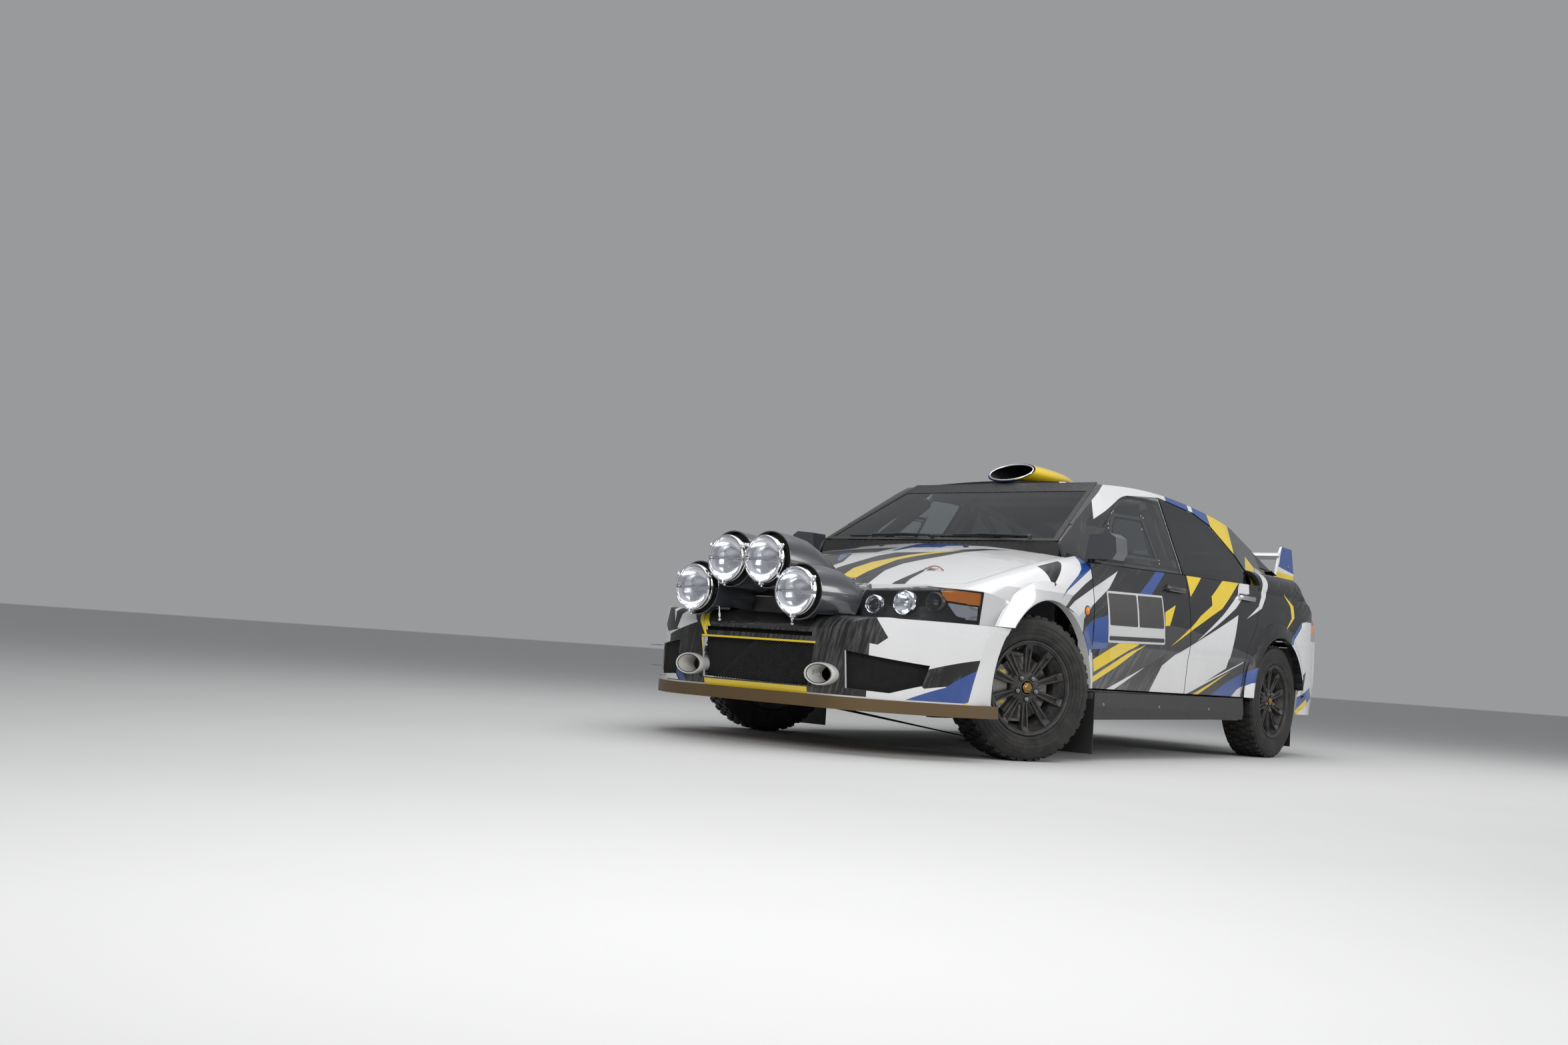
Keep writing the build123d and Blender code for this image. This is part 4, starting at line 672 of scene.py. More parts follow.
NUMBER_PANEL = [(1470, 793), (2060, 812), (2086, 570), (1492, 551)]
HOOD_SCHEME = [
    ("charcoal hood", [(15, 480), (15, 800), (40, 900), (180, 955), (250, 1020), (290, 1110), (350, 1180), (470, 1230),
                       (390, 1150), (335, 1030), (318, 900), (285, 760), (262, 650), (275, 500), (310, 400),
                       (362, 250), (240, 250)]),
    ("yellow vinyl", [(100, 500), (97, 640), (130, 760), (150, 850), (185, 930), (215, 990), (300, 1080), (262, 980),
                      (222, 900), (192, 800), (180, 720), (195, 600), (212, 460), (240, 330), (160, 330)]),
    ("charcoal hood", [(-60, 630), (-165, 820), (-190, 870), (-330, 900), (-480, 780), (-380, 600), (-210, 470),
                       (-40, 500)]),
    ("blue vinyl", [(-275, 890), (-210, 880), (-130, 720), (-95, 640), (-150, 700)]),
    ("blue vinyl", [(-62, 1210), (-30, 960), (0, 950), (12, 1080), (150, 1120), (140, 1180), (215, 1230), (420, 1300),
                    (-40, 1320)]),
    ("blue vinyl", [(-620, 1300), (-560, 1180), (-420, 1120), (-380, 1180), (-500, 1300)]),
    ("charcoal hood", [(-600, 1130), (-300, 1060), (-70, 1080), (-70, 900), (-330, 890), (-480, 960)]),
    ("charcoal hood", [(416, 610), (442, 560), (470, 420), (515, 300), (470, 240), (440, 350)]),
]
ROOF_SCHEME = [
    ("white paint", [(330, 1840), (330, 2040), (480, 2040), (480, 1840)]),
    ("blue vinyl", [(352, 1840), (400, 2000), (428, 2000), (384, 1840)]),
    ("blue vinyl", [(418, 1840), (450, 2000), (470, 2000), (444, 1840)]),
    ("white paint", [(500, 1800), (470, 2600), (700, 2600), (700, 1700)]),
]
RAIL_SCHEME = [
    ("white paint", [(1640, 1150), (1700, 1270), (2000, 1420), (2600, 1460), (2560, 1340), (2000, 1300)]),
    ("blue vinyl", [(2560, 1300), (2560, 1460), (2860, 1460), (2830, 1300)]),
    ("white paint", [(2830, 1300), (2860, 1460), (2920, 1460), (2880, 1300)]),
    ("blue vinyl", [(2880, 1300), (2920, 1460), (3120, 1460), (3060, 1200)]),
    ("yellow vinyl", [(3060, 1200), (3110, 1460), (3360, 1300), (3250, 1120)]),
    ("yellow vinyl", [(3350, 960), (3362, 1060), (3470, 1140), (3560, 1080), (3450, 1000), (3420, 950)]),
    ("soft grey paint", [(3420, 950), (3450, 1000), (3580, 1085), (3700, 1060), (3760, 960)]),
    ("charcoal side", [(3520, 950), (3600, 1040), (3640, 1020), (3590, 950)]),
]
FRONT_SCHEME = [
    ("charcoal front", [(-560, 600), (-560, 240), (560, 240), (560, 600)]),
    ("white paint", [(440, 600), (350, 505), (560, 445), (900, 445), (900, 600)]),
    ("charcoal front", [(420, 600), (500, 470), (625, 486), (560, 600)]),
    ("charcoal front", [(470, 470), (590, 455), (625, 486), (560, 482)]),
    ("white paint", [(500, 600), (520, 500), (545, 600)]),
    ("white paint", [(735, 445), (735, 300), (820, 420), (1000, 470), (1000, 600)]),
    ("white paint", [(520, 310), (455, 244), (730, 244), (735, 310)]),
    ("blue vinyl", [(455, 310), (400, 244), (440, 244), (505, 300)]),
    ("charcoal front", [(700, 345), (860, 425), (1000, 440), (1000, 360), (740, 290)]),
    ("blue vinyl", [(690, 240), (790, 300), (880, 420), (1000, 430), (1000, 300), (830, 240)]),
    ("charcoal front", [(830, 236), (870, 300), (1000, 330), (1000, 236)]),
    ("yellow vinyl", [(826, 236), (890, 300), (1000, 330), (1000, 236)]),
    ("yellow vinyl", [(288, 232), (288, 262), (-288, 262), (-288, 232)]),
    ("yellow vinyl", [(288, 440), (320, 440), (300, 345), (288, 345)]),
    ("yellow vinyl", [(262, 472), (312, 560), (330, 560), (300, 472)]),
    ("yellow vinyl", [(300, 448), (345, 530), (352, 560), (336, 560), (288, 448)]),
    ("yellow vinyl", [(-320, 452), (-320, 444), (320, 444), (320, 452)]),
    ("black gloss", [(-270, 640), (-270, 498), (270, 498), (270, 640)]),
]


def inside(point, outline):
    """Even-odd test of a point against an outline."""
    x, y = point
    odd = False
    for (ax, ay), (bx, by) in zip(outline, outline[1:] + outline[:1]):
        if (ay > y) != (by > y) and x < (bx - ax) * (y - ay) / (by - ay) + ax:
            odd = not odd
    return odd


def cut_scheme(bm, scheme, plane, facing, slots):
    """Cut the outlines of a paint scheme into a panel and colour the faces inside them."""
    first, second = plane
    for name, outline in scheme:
        points = [(a / 1000 if first == 0 else (a - MIDDLE) / 1000,
                   (b - MIDDLE) / 1000 if second == 1 else b / 1000) for a, b in outline]
        low = [min(p[i] for p in points) for i in (0, 1)]
        high = [max(p[i] for p in points) for i in (0, 1)]
        faces = [f for f in bm.faces if facing(f)
                 and max(v.co[first] for v in f.verts) > low[0] and min(v.co[first] for v in f.verts) < high[0]
                 and max(v.co[second] for v in f.verts) > low[1] and min(v.co[second] for v in f.verts) < high[1]]
        if not faces:
            continue
        for a, b in zip(points, points[1:] + points[:1]):
            spot, normal = [0, 0, 0], [0, 0, 0]
            spot[first], spot[second] = a
            normal[first], normal[second] = b[1] - a[1], a[0] - b[0]
            cut = bmesh.ops.bisect_plane(bm, geom=region(faces), dist=2e-5, plane_co=spot, plane_no=normal)
            faces = kind_of(cut["geom"], bmesh.types.BMFace)
        index = slots.index(name)
        for face in faces:
            centre = face.calc_center_median()
            if inside((centre[first], centre[second]), points):
                face.material_index = index


SLOTS = ["white paint", "soft grey paint", "yellow vinyl", "blue vinyl", "charcoal side", "charcoal front",
         "charcoal hood", "grey vinyl", "black gloss", "inner grey with painted shade", "carbon"]
SIDE_VIEW, PLAN_VIEW, FRONT_VIEW = (1, 2), (0, 1), (0, 2)


def faces_sideways(face):
    return face.normal.x * face.calc_center_median().x > 0 and abs(face.normal.x) > 0.3


def faces_up(face):
    return face.normal.z > 0.25


def faces_forward(face):
    return face.normal.y < -0.12


def mirrored(scheme):
    """The same outlines on the other half of a front or plan view."""
    return [(name, [(-a, b) for a, b in outline]) for name, outline in scheme]


PILLAR_SCHEME = [
    ("grey vinyl", [(1200, 890), (1270, 1010), (1600, 1190), (1850, 1372), (2010, 1420), (1760, 1262), (1560, 1120),
                    (1420, 960), (1400, 890)]),
    ("charcoal side", [(1300, 180), (1300, 900), (1350, 900), (1350, 345), (3100, 345), (3100, 180)]),
]
WING_SCHEME = [
    ("blue vinyl", [(4188, 1290), (4150, 1140), (4400, 1112), (4400, 1290)]),
    ("yellow vinyl", [(4090, 1020), (4128, 1112), (4400, 1100), (4400, 1020)]),
]
PANELS = {
    "front_fenders": ("body", "white paint", [(SIDE_SCHEME, SIDE_VIEW, faces_sideways)]),
    "door_front_left": ("door_front_left", "charcoal side", [(SIDE_SCHEME, SIDE_VIEW, faces_sideways)]),
    "door_front_right": ("door_front_right", "charcoal side", [(SIDE_SCHEME, SIDE_VIEW, faces_sideways)]),
    "door_rear_left": ("door_rear_left", "charcoal side", [(SIDE_SCHEME, SIDE_VIEW, faces_sideways)]),
    "door_rear_right": ("door_rear_right", "charcoal side", [(SIDE_SCHEME, SIDE_VIEW, faces_sideways)]),
    "rear_quarters": ("body", "charcoal side", [(SIDE_SCHEME, SIDE_VIEW, faces_sideways)]),
    "rear_bumper": ("body", "white paint", [(SIDE_SCHEME, SIDE_VIEW, faces_sideways)]),
    "hood": ("hood", "white paint", [(HOOD_SCHEME, PLAN_VIEW, faces_up)]),
    "roof_panel": ("body", "charcoal side", [(ROOF_SCHEME, PLAN_VIEW, faces_up)]),
    "side_frames": ("body", "black gloss", [(PILLAR_SCHEME + RAIL_SCHEME, SIDE_VIEW, faces_sideways)]),
    "boot_lid": ("boot_lid", "charcoal side", []),
    "rear_wing": ("boot_lid", "white paint", [(WING_SCHEME, SIDE_VIEW, faces_sideways)]),
    "front_bumper": ("body", "white paint", [(FRONT_SCHEME, FRONT_VIEW, faces_forward),
                                             (mirrored(FRONT_SCHEME), FRONT_VIEW, faces_forward)]),
}
NODE_FINISH = {
    "inner_wings": "inner grey with painted shade", "floor_pan": "inner grey with painted shade", "engine_block": "silver", "radiator": "dark steel",
    "front_subframe": "underbody", "rear_suspension": "underbody", "exhaust": "steel", "mud_flaps": "rubber",
    "side_skirts": "black plastic", "front_lip": "lip weave", "lamp_pod": "carbon", "rear_wing": "white paint",
    "roof_scoop": "yellow vinyl", "dashboard": "black plastic", "roll_cage": "cage paint", "seats": "seat cloth",
    "steering_wheel": "suede", "windscreen": "screen glass", "rear_screen": "dark glass",
    "headlamps": "smoked lens", "tail_lamps": "red lens", "pod_lamps": "chrome", "grille_mesh": "black plastic",
    "window_front_left": "clear sheet", "window_front_right": "clear sheet", "window_rear_left": "dark glass",
    "window_rear_right": "dark glass", "knuckle_left": "brake iron", "knuckle_right": "brake iron",
    "tyre_front_left": "tyre", "tyre_front_right": "tyre", "tyre_rear_left": "tyre", "tyre_rear_right": "tyre",
    "rim_front_left": "wheel coat", "rim_front_right": "wheel coat", "rim_rear_left": "wheel coat",
    "rim_rear_right": "wheel coat",
}


# The tail's corners start to round TAIL_FROM behind the bumper's face and CORNER_FROM out from the middle
TAIL_FROM, CORNER_FROM, CORNER_AT = 3800, 520, 760
TAIL_NODES = ("rear_quarters", "boot_lid", "rear_bumper", "tail_lamps")
TAIL_EDGE = [(200, 4190), (264, 4215), (377, 4280), (492, 4352), (632, 4340), (729, 4300), (823, 4225), (900, 4120),
             (962, 4025), (1060, 3985)]


def tail_limit(height):
    """Station of the tail's outline at a height, where its corner has fully rounded."""
    for (low, a), (high, b) in zip(TAIL_EDGE, TAIL_EDGE[1:]):
        if height < high:
            return a + (b - a) * max(0.0, (height - low) / (high - low))
    return TAIL_EDGE[-1][1]


def cut_across(bm, axis, at):
    """Divide the faces of a whole mesh at a place along an axis."""
    spot, normal = [0, 0, 0], [0, 0, 0]
    spot[axis], normal[axis] = at, 1
    geom = list(bm.verts) + list(bm.edges) + list(bm.faces)
    bmesh.ops.bisect_plane(bm, geom=geom, dist=1e-5, plane_co=spot, plane_no=normal)


def round_tail(bm):
    """Cut the tail finely and pull its corners forward, so that its shoulders fall and its foot tucks in."""
    for axis, marks in ((0, [side * x / 1000 for x in range(540, 880, 40) for side in (-1, 1)]),
                        (2, [z / 1000 for z in range(260, 1080, 60)]),
                        (1, [(s - MIDDLE) / 1000 for s in range(3850, 4440, 90)])):
        for at in marks:
            cut_across(bm, axis, at)
    tree = surface(*TAIL_NODES)
    for vert in bm.verts:
        station = vert.co.y * 1000 + MIDDLE
        across = abs(vert.co.x) * 1000
        if station < TAIL_FROM or across < CORNER_FROM:
            continue
        back, _ = hit(tree, vert.co, (0, -1, 0))
        rear = back.y * 1000 + MIDDLE if back is not None and back.y > vert.co.y - 1e-4 else 4400
        share = min(1.0, (across - CORNER_FROM) / (CORNER_AT - CORNER_FROM))
        limit = rear + (tail_limit(vert.co.z * 1000) - rear) * share ** 1.6 - max(0.0, across - CORNER_AT) * 0.7
        if limit < rear:
            squeezed = TAIL_FROM + (station - TAIL_FROM) * (limit - TAIL_FROM) / (rear - TAIL_FROM)
            vert.co.y = (squeezed - MIDDLE) / 1000


def node_copy(name):
    """A bmesh copy of a CAD node with its loose triangles merged."""
    bm = bmesh.new()
    bm.from_mesh(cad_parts[name].data)
    bmesh.ops.remove_doubles(bm, verts=bm.verts, dist=2e-6)
    return bm


class SALOON_OT_panels(bpy.types.Operator):
    """Copy each body panel, cut the paint scheme into it and give it its finishes"""
    bl_idname = "saloon.panels"
    bl_label = "Painted panels"

    def execute(self, context):
        for name, (body, base, schemes) in PANELS.items():
            bm = node_copy(name)
            base_index = SLOTS.index(base)
            if name in TAIL_NODES:
                round_tail(bm)
            for face in bm.faces:
                centre = face.calc_center_median()
                inner = face.normal.x * centre.x < -0.2 * abs(centre.x) and name.startswith("door")
                face.material_index = SLOTS.index("inner grey with painted shade") if inner else base_index
                if name == "hood" and face.normal.y < -0.7 and abs(centre.x) < 0.335:
                    face.material_index = SLOTS.index("black gloss")
            for scheme, view, facing in schemes:
                cut_scheme(bm, scheme, view, facing, SLOTS)
            for face in bm.faces:
                centre = face.calc_center_median()
                if name.startswith("door") and abs(centre.x) > 0.80 and -0.81 < centre.y < -0.69 and centre.z > 0.925:
                    face.material_index = SLOTS.index("carbon")
            if name == "front_bumper":
                for vert in bm.verts:
                    for side in SIDES.values():
                        if math.hypot(vert.co.x * 1000 - side * DUCT[0], vert.co.z * 1000 - DUCT[1]) < 74:
                            vert.co.z = DUCT[1] / 1000 + (vert.co.z - DUCT[1] / 1000) * DUCT_SQUASH
            piece(bm, name + "_painted", body, *SLOTS, smooth=28, stands_for=(name,), tidy=False)
        return {"FINISHED"}


class SALOON_OT_node_finishes(bpy.types.Operator):
    """Give every CAD node that stays in view its own finish"""
    bl_idname = "saloon.node_finishes"
    bl_label = "Finishes of the frame"

    def execute(self, context):
        for name, material in NODE_FINISH.items():
            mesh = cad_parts[name].data
            mesh.materials.clear()
            mesh.materials.append(finish(material))
        return {"FINISHED"}


# Wheels: side, half distance of the kingpin or axle's end, station, turn in degrees at rest
HUBS = {"front_left": (1, 695, 925, 25), "front_right": (-1, 695, 925, 25), "rear_left": (1, 760, 3545, 0),
        "rear_right": (-1, 760, 3545, 0)}
HUB_HEIGHT = 319
# Profiles of a wheel as (radius, along the axle), and rows of tread as (inner, outer, share of a block's turn)
TYRE_PROFILE = [(190.5, 85), (208, 85), (211, 90), (216, 94.5), (221, 95.5), (222, 98), (226, 98), (228, 97.5),
                (240, 100.2), (241, 101.8), (245, 101.9), (246, 100.9), (256, 101.2), (257, 102.4), (261, 102.4),
                (262, 101), (276, 99.6), (277, 101), (281, 100.6), (282, 98.8), (296, 96.2), (304, 91.5), (309.5, 84),
                (311, 78)]
TREAD_ROWS = [(-83.5, -52, 0), (-45, -6, 0.5), (6, 45, 0), (52, 83.5, 0.5)]
RIM_PROFILE = [(207, -93), (207, -86), (190.4, -85.1), (190.4, -50), (174, -36), (174, 20), (190.4, 40),
               (190.4, 85.1), (207, 86), (207, 91), (205, 93), (200, 93), (197, 90), (192, 78), (186, 60), (183, 50),
               (166, 26), (166, -40), (182.5, -54), (182.5, -93)]
DISC_PROFILE = [(74, 35), (74, 16), (137, 16), (138, 15), (138, 8.5), (128, 8.5), (128, -0.5), (138, -0.5), (138, -7),
                (137, -8), (70, -8), (66, -6), (66, 35)]


def hub_matrix(place):
    """Frame of a wheel: its X points out of the car along the axle."""
    side, half, station, turn = HUBS[place]
    angle = math.radians(turn)
    reach = 65 if turn else 0
    centre = mm(side * (half + reach * math.cos(angle)), station - side * reach * math.sin(angle), HUB_HEIGHT)
    return Matrix.Translation(centre) @ Matrix.Rotation(-angle, 4, "Z") @ Matrix.Diagonal((side, 1, 1, 1))


def facing_back(x, height):
    """Frame in the plane of the bumper's face whose X points rearwards, for round parts."""
    return Matrix.Translation(mm(x, 0, height)) @ Matrix.Rotation(math.pi / 2, 4, "Z")


def outward(spot, sign):
    """Frame on the car's side at a point: its X points out of the car."""
    return Matrix.Translation(spot) @ Matrix.Diagonal((sign, 1, 1, 1))


def about_axle(degrees):
    return Matrix.Rotation(math.radians(degrees), 4, "X")


def add_bar(bm, matrix, inner, outer, index=0, bevel=1.5):
    """Tapered bar along local Z: each end is (distance, low X, high X, middle Y, half width)."""
    made = bmesh.ops.create_cube(bm, size=1)
    for vert in made["verts"]:
        reach, low, high, middle, half = outer if vert.co.z > 0 else inner
        spot = (high if vert.co.x > 0 else low, middle + math.copysign(half, vert.co.y), reach)
        vert.co = matrix @ (Vector(spot) / 1000)
    faces = faces_at(made["verts"])
    mark(faces, index)
    if bevel:
        soften(bm, faces, bevel / 1000)


def add_ring(bm, matrix, profile, segments=48, index=0, closed=False):
    """Lathe a profile of millimetres (radius, along)."""
    return add_lathe(bm, [(r / 1000, a / 1000) for r, a in profile], matrix, segments, index, closed)


def add_nut(bm, matrix, across, low, high, index=0):
    """Hexagon nut along local X."""
    made = bmesh.ops.create_cone(bm, cap_ends=True, segments=6, radius1=across / 1732, radius2=across / 1732,
                                 depth=(high - low) / 1000,
                                 matrix=matrix @ Matrix.Translation(((high + low) / 2000, 0, 0))
                                 @ Matrix.Rotation(math.pi / 2, 4, "Y"))
    faces = faces_at(made["verts"])
    mark(faces, index)
    soften(bm, faces, 0.0012, 1)


class SALOON_OT_tyres(bpy.types.Operator):
    """Gravel tyres with raised rings on the wall and rows of tread blocks"""
    bl_idname = "saloon.tyres"
    bl_label = "Tyres"

    def execute(self, context):
        blocks = sizes().tread_blocks
        for place in HUBS:
            matrix = hub_matrix(place)
            bm = bmesh.new()
            wall = TYRE_PROFILE + [(r, -a) for r, a in reversed(TYRE_PROFILE)]
            add_ring(bm, matrix, wall, 80, closed=True)
            half = math.pi * 318 / blocks * 0.66
            for low, high, shift in TREAD_ROWS:
                for i in range(blocks):
                    turned = matrix @ about_axle(360 * (i + shift) / blocks)
                    taper = 3 if i % 2 else -3
                    add_bar(bm, turned @ Matrix.Translation((0, taper / 1000, 0)), (306, low, high, 0, half),
                            (318.5, low + 2, high - 2, 0, half - 2), bevel=1.2)
            piece(bm, "tyre_dressed_" + place, "wheel_" + place, "tyre", smooth=38,
                  stands_for=("tyre_" + place,))
        return {"FINISHED"}


class SALOON_OT_rims(bpy.types.Operator):
    """Rims with split spokes, wheel nuts, a bronze hub nut and the brake disc behind them"""
    bl_idname = "saloon.rims"
    bl_label = "Rims and discs"

    def execute(self, context):
        spokes = sizes().spoke_pairs
        for place in HUBS:
            matrix = hub_matrix(place)
            bm = bmesh.new()
            add_ring(bm, matrix, RIM_PROFILE, 80, closed=True)
            add_ring(bm, matrix, [(28, 35), (76, 35), (76, 47), (71, 54), (62, 57), (42, 59), (38, 62), (28, 62)], 60,
                     closed=True)
            add_ring(bm, matrix, [(30, 60), (36, 60), (36, 66), (33, 68), (30, 68)], 40, closed=True)
            for i in range(spokes):
                turned = matrix @ about_axle(360 * i / spokes)
                for side in (-1, 1):
                    add_bar(bm, turned, (60, 42, 58, side * 6.5, 4.6), (186, 50, 67, side * 15, 4.2), bevel=1.6)
                add_bar(bm, turned, (60, 40, 50, 0, 8), (182, 46, 56, 0, 15), bevel=1)
                add_bar(bm, turned, (166, 50, 60, 0, 15), (190, 52, 76, 0, 19), bevel=2.5)
            for i in range(5):
                spot = matrix @ about_axle(72 * i + 36) @ Matrix.Translation((0, 0, 0.05))
                add_ring(bm, spot, [(9, 50), (15, 50), (15, 61), (13.5, 62.5), (12.5, 61), (12, 54), (9, 54)], 20,
                         closed=True)
                add_nut(bm, spot, 19, 52, 70, 1)
                add_ring(bm, spot, [(0.01, 69), (6, 69), (6, 75), (4.5, 76.5), (0.01, 76.5)], 16, 1)
            add_nut(bm, matrix, 44, 58, 72, 2)
            add_ring(bm, matrix, [(0.01, 70), (17, 70), (17, 74), (12, 79), (0.01, 80)], 24, 2)
            add_ring(bm, matrix, DISC_PROFILE, 72, 3, closed=True)
            for i in range(24):
                turned = matrix @ about_axle(15 * i) @ Matrix.Translation((0, 0, 0.104)) @ Matrix.Rotation(0.5, 4, "X")
                add_bar(bm, turned, (-22, 15.8, 16.4, 0, 1.4), (22, 15.8, 16.4, 0, 1.4), 4, 0)
            valve = matrix @ about_axle(18) @ Matrix.Translation((0, 0, 0.176))
            add_ring(bm, valve, [(0.01, 24), (4, 24), (4, 52), (2.5, 58), (0.01, 58)], 12, 1)
            piece(bm, "rim_dressed_" + place, "wheel_" + place, "wheel coat", "steel", "bronze", "brake iron",
                  "dark steel", smooth=30, stands_for=("rim_" + place,))
        for side in SIDES:
            bm = bmesh.new()
            matrix = hub_matrix("front_" + side)
            for low, high in ((-78, -20), (20, 78)):
                spot = matrix @ about_axle(90)
                add_bar(bm, spot, (96, 33.8, 35.2, (low + high) / 2, 24), (128, 33.8, 35.2, (low + high) / 2, 22))
            for z in (-88, 88):
                add_nut(bm, matrix @ Matrix.Translation((0, -0.12, z / 1000)), 15, 33.6, 35.4, 1)
            piece(bm, "caliper_pads_" + side, "knuckle_" + side, "yellow vinyl", "steel")
        return {"FINISHED"}


def section(bm, centre, half_width, half_height, steps=44, rake=0.0):
    """Oval ring across the car; rake leans its top rearwards."""
    made = bmesh.ops.create_circle(bm, cap_ends=False, segments=steps, radius=1)
    for vert in made["verts"]:
        across, up = vert.co.x * half_width, vert.co.y * half_height
        vert.co = mm(centre[0] + across, centre[1] + up * rake, centre[2] + up)
    return each_once(e for v in made["verts"] for e in v.link_edges)


def tube_of(bm, rings, index=0, steps=44):
    """Skin over ovals given as (centre, half width, half height, rake)."""
    loops = [section(bm, centre, half_width, half_height, steps, rake)
             for centre, half_width, half_height, rake in rings]
    made = []
    for near, beyond in zip(loops, loops[1:]):
        made += bmesh.ops.bridge_loops(bm, edges=near + beyond)["faces"]
    mark(made, index)
    return loops, made


def rest_on(bm, tree, gap, floor_height=None, floor_from=0):
    """Lift the vertices that lie under a surface up to it, so that the piece sits on it."""
    for vert in bm.verts:
        spot, _ = hit(tree, vert.co, (0, 0, -1))
        if spot is not None and vert.co.z < spot.z + gap:
            vert.co.z = spot.z + gap
        if floor_height and vert.co.y > mm(0, floor_from, 0).y:
            vert.co.z = max(vert.co.z, floor_height / 1000)


def thicken(item, thickness, offset=-1):
    """Give a sheet its wall with a Solidify modifier."""
    wall = item.modifiers.new("wall", "SOLIDIFY")
    wall.thickness = thickness
    wall.offset = offset
    return item


# Sections of a lobe from the front: (station, half distance from the middle, height, radius)
INNER_LOBE = [(-98, 104, 781, 122), (0, 104, 778, 121), (90, 106, 768, 118), (170, 110, 742, 112), (240, 114, 712, 104),
              (300, 118, 690, 92), (345, 122, 676, 78)]
OUTER_LOBE = [(-98, 285, 652, 118), (0, 286, 652, 118), (90, 288, 648, 116), (160, 291, 632, 110), (220, 295, 606, 100),
              (275, 300, 590, 86)]
LAMPS = [(104, 781), (285, 652)]


class SALOON_OT_lamp_pod(bpy.types.Operator):
    """Carbon shroud of four lobes that lies on the hood, with its latches and stay rods"""
    bl_idname = "saloon.lamp_pod"
    bl_label = "Lamp pod"

    def execute(self, context):
        tree = surface("hood", "headlamps")
        bm = bmesh.new()
        for side in SIDES.values():
            for lobe in (INNER_LOBE, OUTER_LOBE):
                tube_of(bm, [((side * x, s, z), r, r, 0) for s, x, z, r in lobe], steps=56)
        rest_on(bm, tree, 0.0006, 576, -14)
        pod = piece(bm, "pod_shroud", "hood", "carbon", smooth=60, stands_for=("lamp_pod",))
        thicken(pod, 0.005)
        bm = bmesh.new()
        for side in SIDES.values():
            for x, z in LAMPS:
                spot = facing_back(side * x, z)
                add_ring(bm, spot, [(70, -62), (112, -62), (112, -57), (70, -57)], 48, closed=True)
            for place in ((238, 300, 804), (376, 214, 720)):
                top, _ = hit(tree, mm(side * place[0], place[1], place[2]), (0, 0, -1))
                matrix = Matrix.Translation(top) @ Matrix.Rotation(side * -0.5, 4, "Z")
                add_box(bm, (-0.011, -0.024, 0.001), (0.011, 0.024, 0.006), 0.002, 1, matrix=matrix)
                add_box(bm, (-0.006, -0.03, 0.006), (0.006, 0.012, 0.011), 0.002, 1, matrix=matrix)
                add_rod(bm, matrix @ Vector((-0.012, 0.016, 0.009)), matrix @ Vector((0.012, 0.016, 0.009)), 0.0032, 1)
            low, high = mm(side * 205, -34, 520), mm(side * 196, -66, 652)
            add_rod(bm, low, high, 0.0036, 1)
            for end in (low, high):
                add_ball(bm, end, 0.0085, 1)
            add_rod(bm, low.lerp(high, 0.1), low.lerp(high, 0.22), 0.0058, 1, 6)
        piece(bm, "pod_fittings", "hood", "black plastic", "chrome", smooth=40)
        return {"FINISHED"}


# Profiles of a pod lamp as (radius, along), from its rear; the lens starts behind the rim
LAMP_SHELL = [(0.01, 2), (48, 0), (60, -20), (84, -70), (98, -106), (98, -112)]
LAMP_BOWL = [(91.5, -130), (88, -118), (76, -96), (56, -78), (30, -69), (12, -67), (0.01, -66)]
BULB = [(0.01, -112), (9, -111), (13, -104), (13, -92), (9, -88), (6, -66)]
# Bent wire of a clip as (along, across, out)
CLIP_WIRE = [(-112, -9, 106), (-128, -9, 110), (-141, -7, 107), (-144.5, -3, 100), (-144.6, 0, 91), (-144.5, 3, 100),
             (-141, 7, 107), (-128, 9, 110), (-112, 9, 106)]
CLIP_ANGLES = (92, 212, 328)


